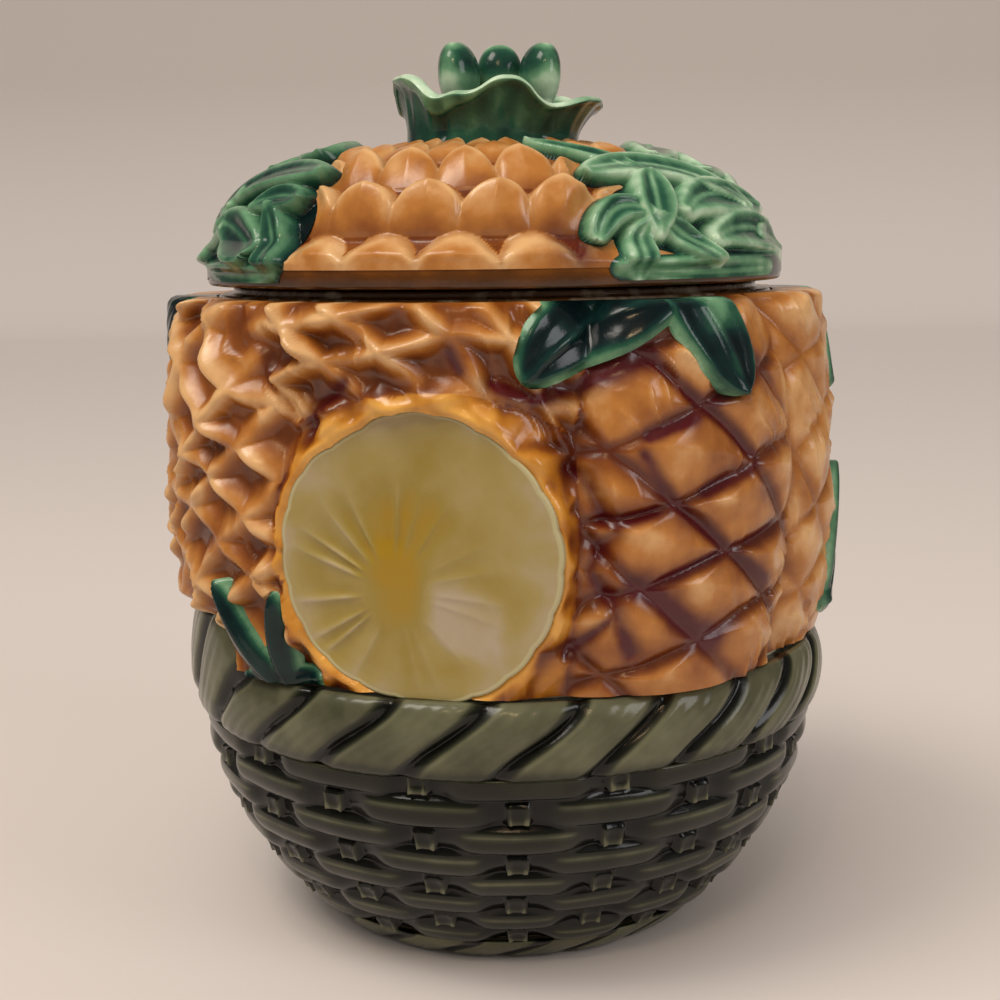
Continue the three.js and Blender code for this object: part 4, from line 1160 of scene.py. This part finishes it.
def lid_leaves(node, thickness, turn, up):
    """How far inside the edge of a cluster a point is, its height and how deep its glaze pools.
    The halves of each leaf curl up to its edge, where the glaze is thin."""
    reach = np.full(np.shape(turn), -1e9)
    height = np.full(np.shape(turn), 0.3)
    pool = np.full(np.shape(turn), 0.85)
    grounds = len(LID_GROUNDS[node])
    for order, (half_width, *spots) in enumerate(LID_GROUNDS[node] + LID_SPRAYS[node]):
        middle = spots[1][0]
        spots = [((spot[0] - middle) * LID_DEGREE, spot[1]) for spot in spots]
        aside = wrapped(turn, middle) * LID_DEGREE
        inside, side = leaf(half_width, 0, *spots, aside, up, LID_LEAF_BLUNTNESS)
        reach = np.maximum(reach, inside)
        if order < grounds:
            continue
        edge = np.sin(np.clip(inside / LID_LEAF_EDGE, 0, 1) * np.pi / 2)
        hollow = smooth(inside, 0.35 * half_width, 1.0 * half_width)
        midrib = bell(side, 0.5)
        rise = thickness * (0.15 + 0.75 * edge) - 0.85 * hollow + 0.3 * midrib + 0.06 * order * edge
        rise = rise + np.minimum(inside, 0)
        leaf_pool = 0.58 * smooth(inside, 0.5, 0.8 * half_width) * (1 - 0.6 * midrib) + 0.6 * (1 - edge)
        pool = pool + (leaf_pool - pool) * smooth(rise - height, -0.25, 0.25)
        height = np.maximum(rise, height)
    return reach, height, pool


def cluster_reach(turn, up):
    """How far inside the edge of the nearest leaf cluster a point is."""
    return np.maximum(*(lid_leaves(node, 1, turn, up)[0] for node in LID_SPRAYS))


# Cells are owned by the pineapple, front and back, and the right and left leaves, in this order.
lid_turns = around(LID_COLUMNS)
lid_ups = np.linspace(-LID_SKIRT, top_length, LID_ROWS)
cell_turns, cell_ups = cell_middles(lid_turns, lid_ups)
right_reach, left_reach = (lid_leaves(node, 1, cell_turns, cell_ups)[0] for node in LID_SPRAYS)
lid_owner = np.where(cell_ups < -0.8, -1, np.abs(wrapped(cell_turns, 0)) > 90)
lid_owner = np.where(right_reach > 0, 2, np.where(left_reach > 0, 3, lid_owner))
grid_turns, grid_ups = settle(*np.meshgrid(lid_turns, lid_ups), lid_owner)
grid_turns, grid_ups = snap(grid_turns, grid_ups, lid_owner > 1, cluster_reach, LID_DEGREE)
grid_ups = np.clip(grid_ups, -LID_SKIRT, top_length)

in_open = smooth(-cluster_reach(grid_turns, grid_ups), 0, 3.2)
scale_height, scale_pool, scale_valley = scales(grid_turns, grid_ups)
scale_height = scale_height * smooth(grid_ups, -0.3, 1.5) * (0.2 + 0.8 * in_open)
scale_points = on_dome(grid_turns, grid_ups, over_foot(grid_turns, grid_ups, scale_height))
maroon = bell(from_middle(grid_turns, 15), 4.5) * bell(grid_ups - 1.5, 2.6)
scale_stain = np.clip(0.22 * scale_valley + 0.9 * maroon, 0, 1)
scale_marks = {"pool": scale_pool - 0.15, "stain_and_painted_light": scale_stain}
lid_skins = {"scales": (scale_points, normals_of(scale_points), scale_marks)}
for node, thicker, darker in (("lid_leaves_right", 0, 0), ("lid_leaves_left", 0.7, 0.15)):
    _, leaf_height, leaf_pool = lid_leaves(node, LID_LEAF_THICKNESS + thicker, grid_turns, grid_ups)
    points = on_dome(grid_turns, grid_ups, over_foot(grid_turns, grid_ups, leaf_height))
    lid_skins[node] = (points, normals_of(points), {"pool": leaf_pool + darker})
lid_back_out = np.where(grid_ups < 0.3, LID_RADIUS - DOME_RADIUS - 0.1, -DOME_RELIEF + GAP / 2)
lid_owners = [("lid_pineapple_" + side, "scales", "fruit_glaze", honey_glaze) for side in ("front", "back")]
lid_owners += [(node, node, "leaf_glaze", green_glaze) for node in LID_SPRAYS]
pieces_of_skin(lid_skins, on_dome(grid_turns, grid_ups, lid_back_out), lid_owner, lid_owners, "lid")


# The crown is the lid's knob: a cup of five leaves joined side by side, whose tips stand up and
# lean out, round three plump inner leaves. Its glaze is deep green and thins to mint at each rim.
CROWN_FOOT = LID_SHOULDER + DOME_HEIGHT - DOME_RELIEF + GAP
CROWN_HEIGHT = 7.9
CROWN_FLOOR = CROWN_FOOT + CROWN_HEIGHT / 2
CROWN_WALL = 2.2
CROWN_LIP = 0.7
CROWN_RIM_RADIUS = 15.2
CROWN_DIP = 121.7
CROWN_LEAN = 1.2
CROWN_COLUMNS = 360
CROWN_CREASES = 25

# Turn, height and outward set of the tip of each leaf of the cup, its reach to both sides in degrees
# and how square it is. A saddle joins the two leaves at the front left, under a rolled edge.
CUP_LEAVES = [
    (4, 125.5, 0.3, 17, 2.6), (66, 123.1, 0.5, 22, 3), (140, 124.8, 0.2, 21, 1.8),
    (212, 124.8, 0.2, 21, 1.8), (291, 126.6, 0.5, 26, 3.5),
]
CUP_SADDLE = 334
SADDLE_RISE = 1.9
ROLL_TURN = 320


def cup_lean(height):
    """How far the cup leans to the side at a height: it curves further over as it rises."""
    share = np.clip((height - CROWN_FOOT) / CROWN_HEIGHT, 0, 1)
    return MOUTH_SHIFT + CROWN_LEAN * share * share


cup_turn = around(CROWN_COLUMNS)
cup_top = CROWN_DIP + SADDLE_RISE * bell(wrapped(cup_turn, CUP_SADDLE), 13)
cup_set = np.zeros(cup_turn.shape)
cup_fold = np.zeros(cup_turn.shape)
for tip_turn, tip_height, tip_set, reach, squareness in CUP_LEAVES:
    away = np.abs(wrapped(cup_turn, tip_turn))
    bump = bell(away, reach, squareness)
    cup_top = cup_top + (tip_height - CROWN_DIP) * bump
    cup_set = cup_set + tip_set * bump
    cup_fold = np.maximum(cup_fold, np.sqrt(np.maximum(1 - (away / 39) ** 2, 0)))

# The outside from foot to lip, the round lip, and the inside down to the floor of the cup.
up_share = np.linspace(0, 1, 26)[:, None]
outer_height = CROWN_FOOT + (cup_top - CROWN_LIP - CROWN_FOOT) * up_share
flare = CROWN_FOOT_RADIUS + (CROWN_RIM_RADIUS - CROWN_FOOT_RADIUS + cup_set) * up_share**1.4
crease_angle = np.radians(cup_turn) * CROWN_CREASES
crease = 0.08 * np.cos(crease_angle + 1.3 * up_share) * smooth(up_share, 0.1, 0.6)
outer_radius = flare - 1.5 * (1 - cup_fold) * smooth(up_share, 0, 0.35)
outer_radius = outer_radius - 0.5 * np.sin(np.pi * up_share) + crease
roll = 0.9 + 2.1 * bell(wrapped(cup_turn, ROLL_TURN), 24)
rolled = 1 - smooth(cup_top - outer_height, roll - 0.4, roll + 0.4)
outer_radius = outer_radius + 0.55 * rolled * smooth(up_share, 0.2, 0.5)
outer_radius[0] = CROWN_FOOT_RADIUS - 0.2
lip_angle = np.linspace(0.2, np.pi - 0.2, 9)[:, None]
lip_middle = outer_radius[-1:] - CROWN_WALL / 2
lip_radius = lip_middle + CROWN_WALL / 2 * np.cos(lip_angle)
lip_height = cup_top - CROWN_LIP + CROWN_LIP * np.sin(lip_angle)
inner_share = np.linspace(0.96, 0, 18)[:, None]
inner_height = CROWN_FLOOR + (cup_top - CROWN_LIP - CROWN_FLOOR) * inner_share
inner_radius = (lip_middle - CROWN_WALL / 2 - 0.1) - 2.0 * (1 - inner_share) ** 1.5
cup_radius = np.concatenate([outer_radius, lip_radius, inner_radius])
cup_height = np.concatenate([outer_height, lip_height, inner_height])
cup_rings = place(cup_turn, cup_radius, cup_height, lean=cup_lean)
cup_ends = [place(0, 0, height, lean=cup_lean) for height in (CROWN_FOOT, CROWN_FLOOR)]
cup_points, cup_faces = with_poles(cup_rings, *cup_ends)
outer_pool = 0.68 - 0.1 * cup_fold - 0.3 * rolled - 0.05 * np.cos(crease_angle)
lip_pool = np.full(lip_radius.shape, 0.05)
inner_pool = 0.2 + 0.5 * (1 - inner_share) + 0 * cup_turn
cup_pool = np.concatenate([outer_pool, lip_pool, inner_pool]).ravel()
make_piece(
    "crown_leaf_cup", cup_points, cup_faces, "lid", ["crown_cup"], green_glaze,
    {"pool": np.concatenate([[1.0], cup_pool, [0.9]])},
)

# Number, turn, height and half width of each inner leaf, which stands on the cup's floor.
INNER_LEAVES = [(1, 250, 132.1, 4.3), (2, 180, 132.2, 3.6), (3, 112, 131.9, 4.3)]
INNER_FOOT = CROWN_FLOOR + GAP
INNER_CIRCLE = 6.4
INNER_THICKNESS = 3.0

leaf_share = np.linspace(0.02, 0.985, 40)[:, None]
leaf_round = np.radians(around(64))
inner_swell = (1 - np.abs(2 * leaf_share**1.6 - 1) ** 2.4) ** (1 / 2.4)
inner_swell = inner_swell * (0.8 + 0.2 * np.sin(np.pi * leaf_share))
inner_swell = np.maximum(inner_swell, 0.7 * smooth(leaf_share, -0.1, 0.1) * (leaf_share < 0.6))
leaf_pool = 0.3 + 0.35 * smooth(leaf_share, 0.5, 0.75) - 0.25 * np.sin(leaf_round) ** 4
leaf_pool = leaf_pool - 0.35 * smooth(leaf_share, 0.85, 1)
for number, turn, top, half_width in INNER_LEAVES:
    wide = half_width * inner_swell * np.sin(leaf_round)
    rib = 0.5 * bell(wide, 0.8) * inner_swell * (np.cos(leaf_round) > 0)
    thick = INNER_THICKNESS * inner_swell * np.cos(leaf_round) + rib
    distance = INNER_CIRCLE + thick + 1.8 * (leaf_share - 0.4) ** 2
    height = INNER_FOOT + (top - INNER_FOOT) * leaf_share
    rings = place(turn, distance, height, wide, lambda height: MOUTH_SHIFT + CROWN_LEAN)
    ends = rings[0].mean(0) - (0, 0, 0.1), rings[-1].mean(0) + (0, 0, 0.12)
    points, faces = with_poles(rings, *ends)
    make_piece(
        f"crown_inner_leaf_{number}", points, faces, "lid", [f"crown_petal_{number}"],
        green_glaze, {"pool": np.concatenate([[0.8], leaf_pool.ravel(), [0.2]])},
    )


# The stage is a plain pale table that curves up into a backdrop, under a soft window on the left,
# a weaker one on the right and a pair of small warm lamps. The room's even light is dimmer in
# reflections, so that the dark glazes stay dark.
TABLE_COLOUR = "#cfc5be"
TABLE_DEPTH = 1400
TABLE_WIDTH = 3000
TABLE_FRONT = -900
COVE_RADIUS = 300
BACKDROP_HEIGHT = 1600
ROOM_COLOUR = "#e9e1d8"

cove_angles = np.linspace(0, np.pi / 2, 24)
cove_y = TABLE_DEPTH + COVE_RADIUS * np.sin(cove_angles)
cove_y = np.concatenate([[TABLE_FRONT], cove_y, [TABLE_DEPTH + COVE_RADIUS]])
cove_z = np.concatenate([[0], COVE_RADIUS * (1 - np.cos(cove_angles)), [BACKDROP_HEIGHT]])
cove_x = np.array([-TABLE_WIDTH / 2, TABLE_WIDTH / 2])[:, None]
cove_points = np.stack(np.broadcast_arrays(cove_x, cove_y, cove_z), -1)

# Matte paper, which takes soft shadows and shows no shine.
table_paint = bpy.data.materials.new("matte_paper")
table_paint.use_nodes = True
table_shader = table_paint.node_tree.nodes["Principled BSDF"]
table_shader.inputs["Base Color"].default_value = paint(TABLE_COLOUR)
table_shader.inputs["Roughness"].default_value = 0.6

cove_mesh = bpy.data.meshes.new("table_and_backdrop")
cove_quads = grid_quads(*cove_points.shape[:2], close_columns=False)
cove_mesh.from_pydata((cove_points * MM).reshape(-1, 3).tolist(), [], cove_quads[:, ::-1].tolist())
cove_mesh.polygons.foreach_set("use_smooth", np.ones(len(cove_mesh.polygons), bool))
cove_mesh.materials.append(table_paint)
table = bpy.data.objects.new("table_and_backdrop", cove_mesh)
bpy.context.scene.collection.objects.link(table)


def soft_lamp(name, position, size, power, colour):
    """Square lamp of a size in metres that faces the middle of the jar."""
    light = bpy.data.lights.new(name, "AREA")
    light.size = size
    light.energy = power
    light.color = paint(colour)[:3]
    lamp = bpy.data.objects.new(name, light)
    aim = (Vector(position) - Vector((0, 0, 0.07))).to_track_quat("Z", "Y")
    lamp.matrix_world = Matrix.Translation(position) @ aim.to_matrix().to_4x4()
    bpy.context.scene.collection.objects.link(lamp)


soft_lamp("window", (-0.35, -0.2, 0.75), 0.3, 2.4, "#fff6ea")
soft_lamp("room", (0.7, -0.5, 0.5), 0.4, 2.2, "#f4f2f4")
soft_lamp("left_ceiling_lamp", (-0.12, -0.55, 0.62), 0.03, 0.25, "#ffd9a8")
soft_lamp("right_ceiling_lamp", (-0.03, -0.55, 0.62), 0.03, 0.25, "#ffd9a8")

daylight = bpy.data.lights.new("daylight", "SUN")
daylight.energy = 1.3
daylight.angle = np.radians(50)
sky = bpy.data.objects.new("daylight", daylight)
sky.matrix_world = Vector((-0.3, -0.45, 1)).to_track_quat("Z", "Y").to_matrix().to_4x4()
sky.visible_glossy = False
bpy.context.scene.collection.objects.link(sky)

world = bpy.data.worlds.new("room")
world.use_nodes = True
room = world.node_tree.nodes["Background"]
room.inputs["Color"].default_value = paint(ROOM_COLOUR)
room.inputs["Strength"].default_value = 0.6
in_gloss = add(world, "ShaderNodeBackground", {"Color": paint(ROOM_COLOUR), "Strength": 0.15})
is_gloss = add(world, "ShaderNodeLightPath").outputs["Is Glossy Ray"]
either = add(world, "ShaderNodeMixShader", {0: is_gloss, 1: room.outputs[0], 2: in_gloss.outputs[0]})
world.node_tree.links.new(either.outputs[0], world.node_tree.nodes["World Output"].inputs["Surface"])
bpy.context.scene.world = world
bpy.context.scene.view_settings.view_transform = "Standard"


# The camera stands close, a little above the middle of the jar, as the photograph was taken.
CAMERA_PLACE = (-0.0008, -0.235, 0.103)
CAMERA_LENS = 54.72
CAMERA_PITCH = 9.8
CAMERA_ROLL = 0.75

lens = bpy.data.cameras.new("camera")
lens.lens = CAMERA_LENS
lens.sensor_width = 36
lens.clip_start = 0.01
camera = bpy.data.objects.new("camera", lens)
camera_tilt = Matrix.Rotation(np.radians(90 - CAMERA_PITCH), 4, "X")
camera_tilt = camera_tilt @ Matrix.Rotation(np.radians(-CAMERA_ROLL), 4, "Z")
camera.matrix_world = Matrix.Translation(CAMERA_PLACE) @ camera_tilt
bpy.context.scene.collection.objects.link(camera)
bpy.context.scene.camera = camera
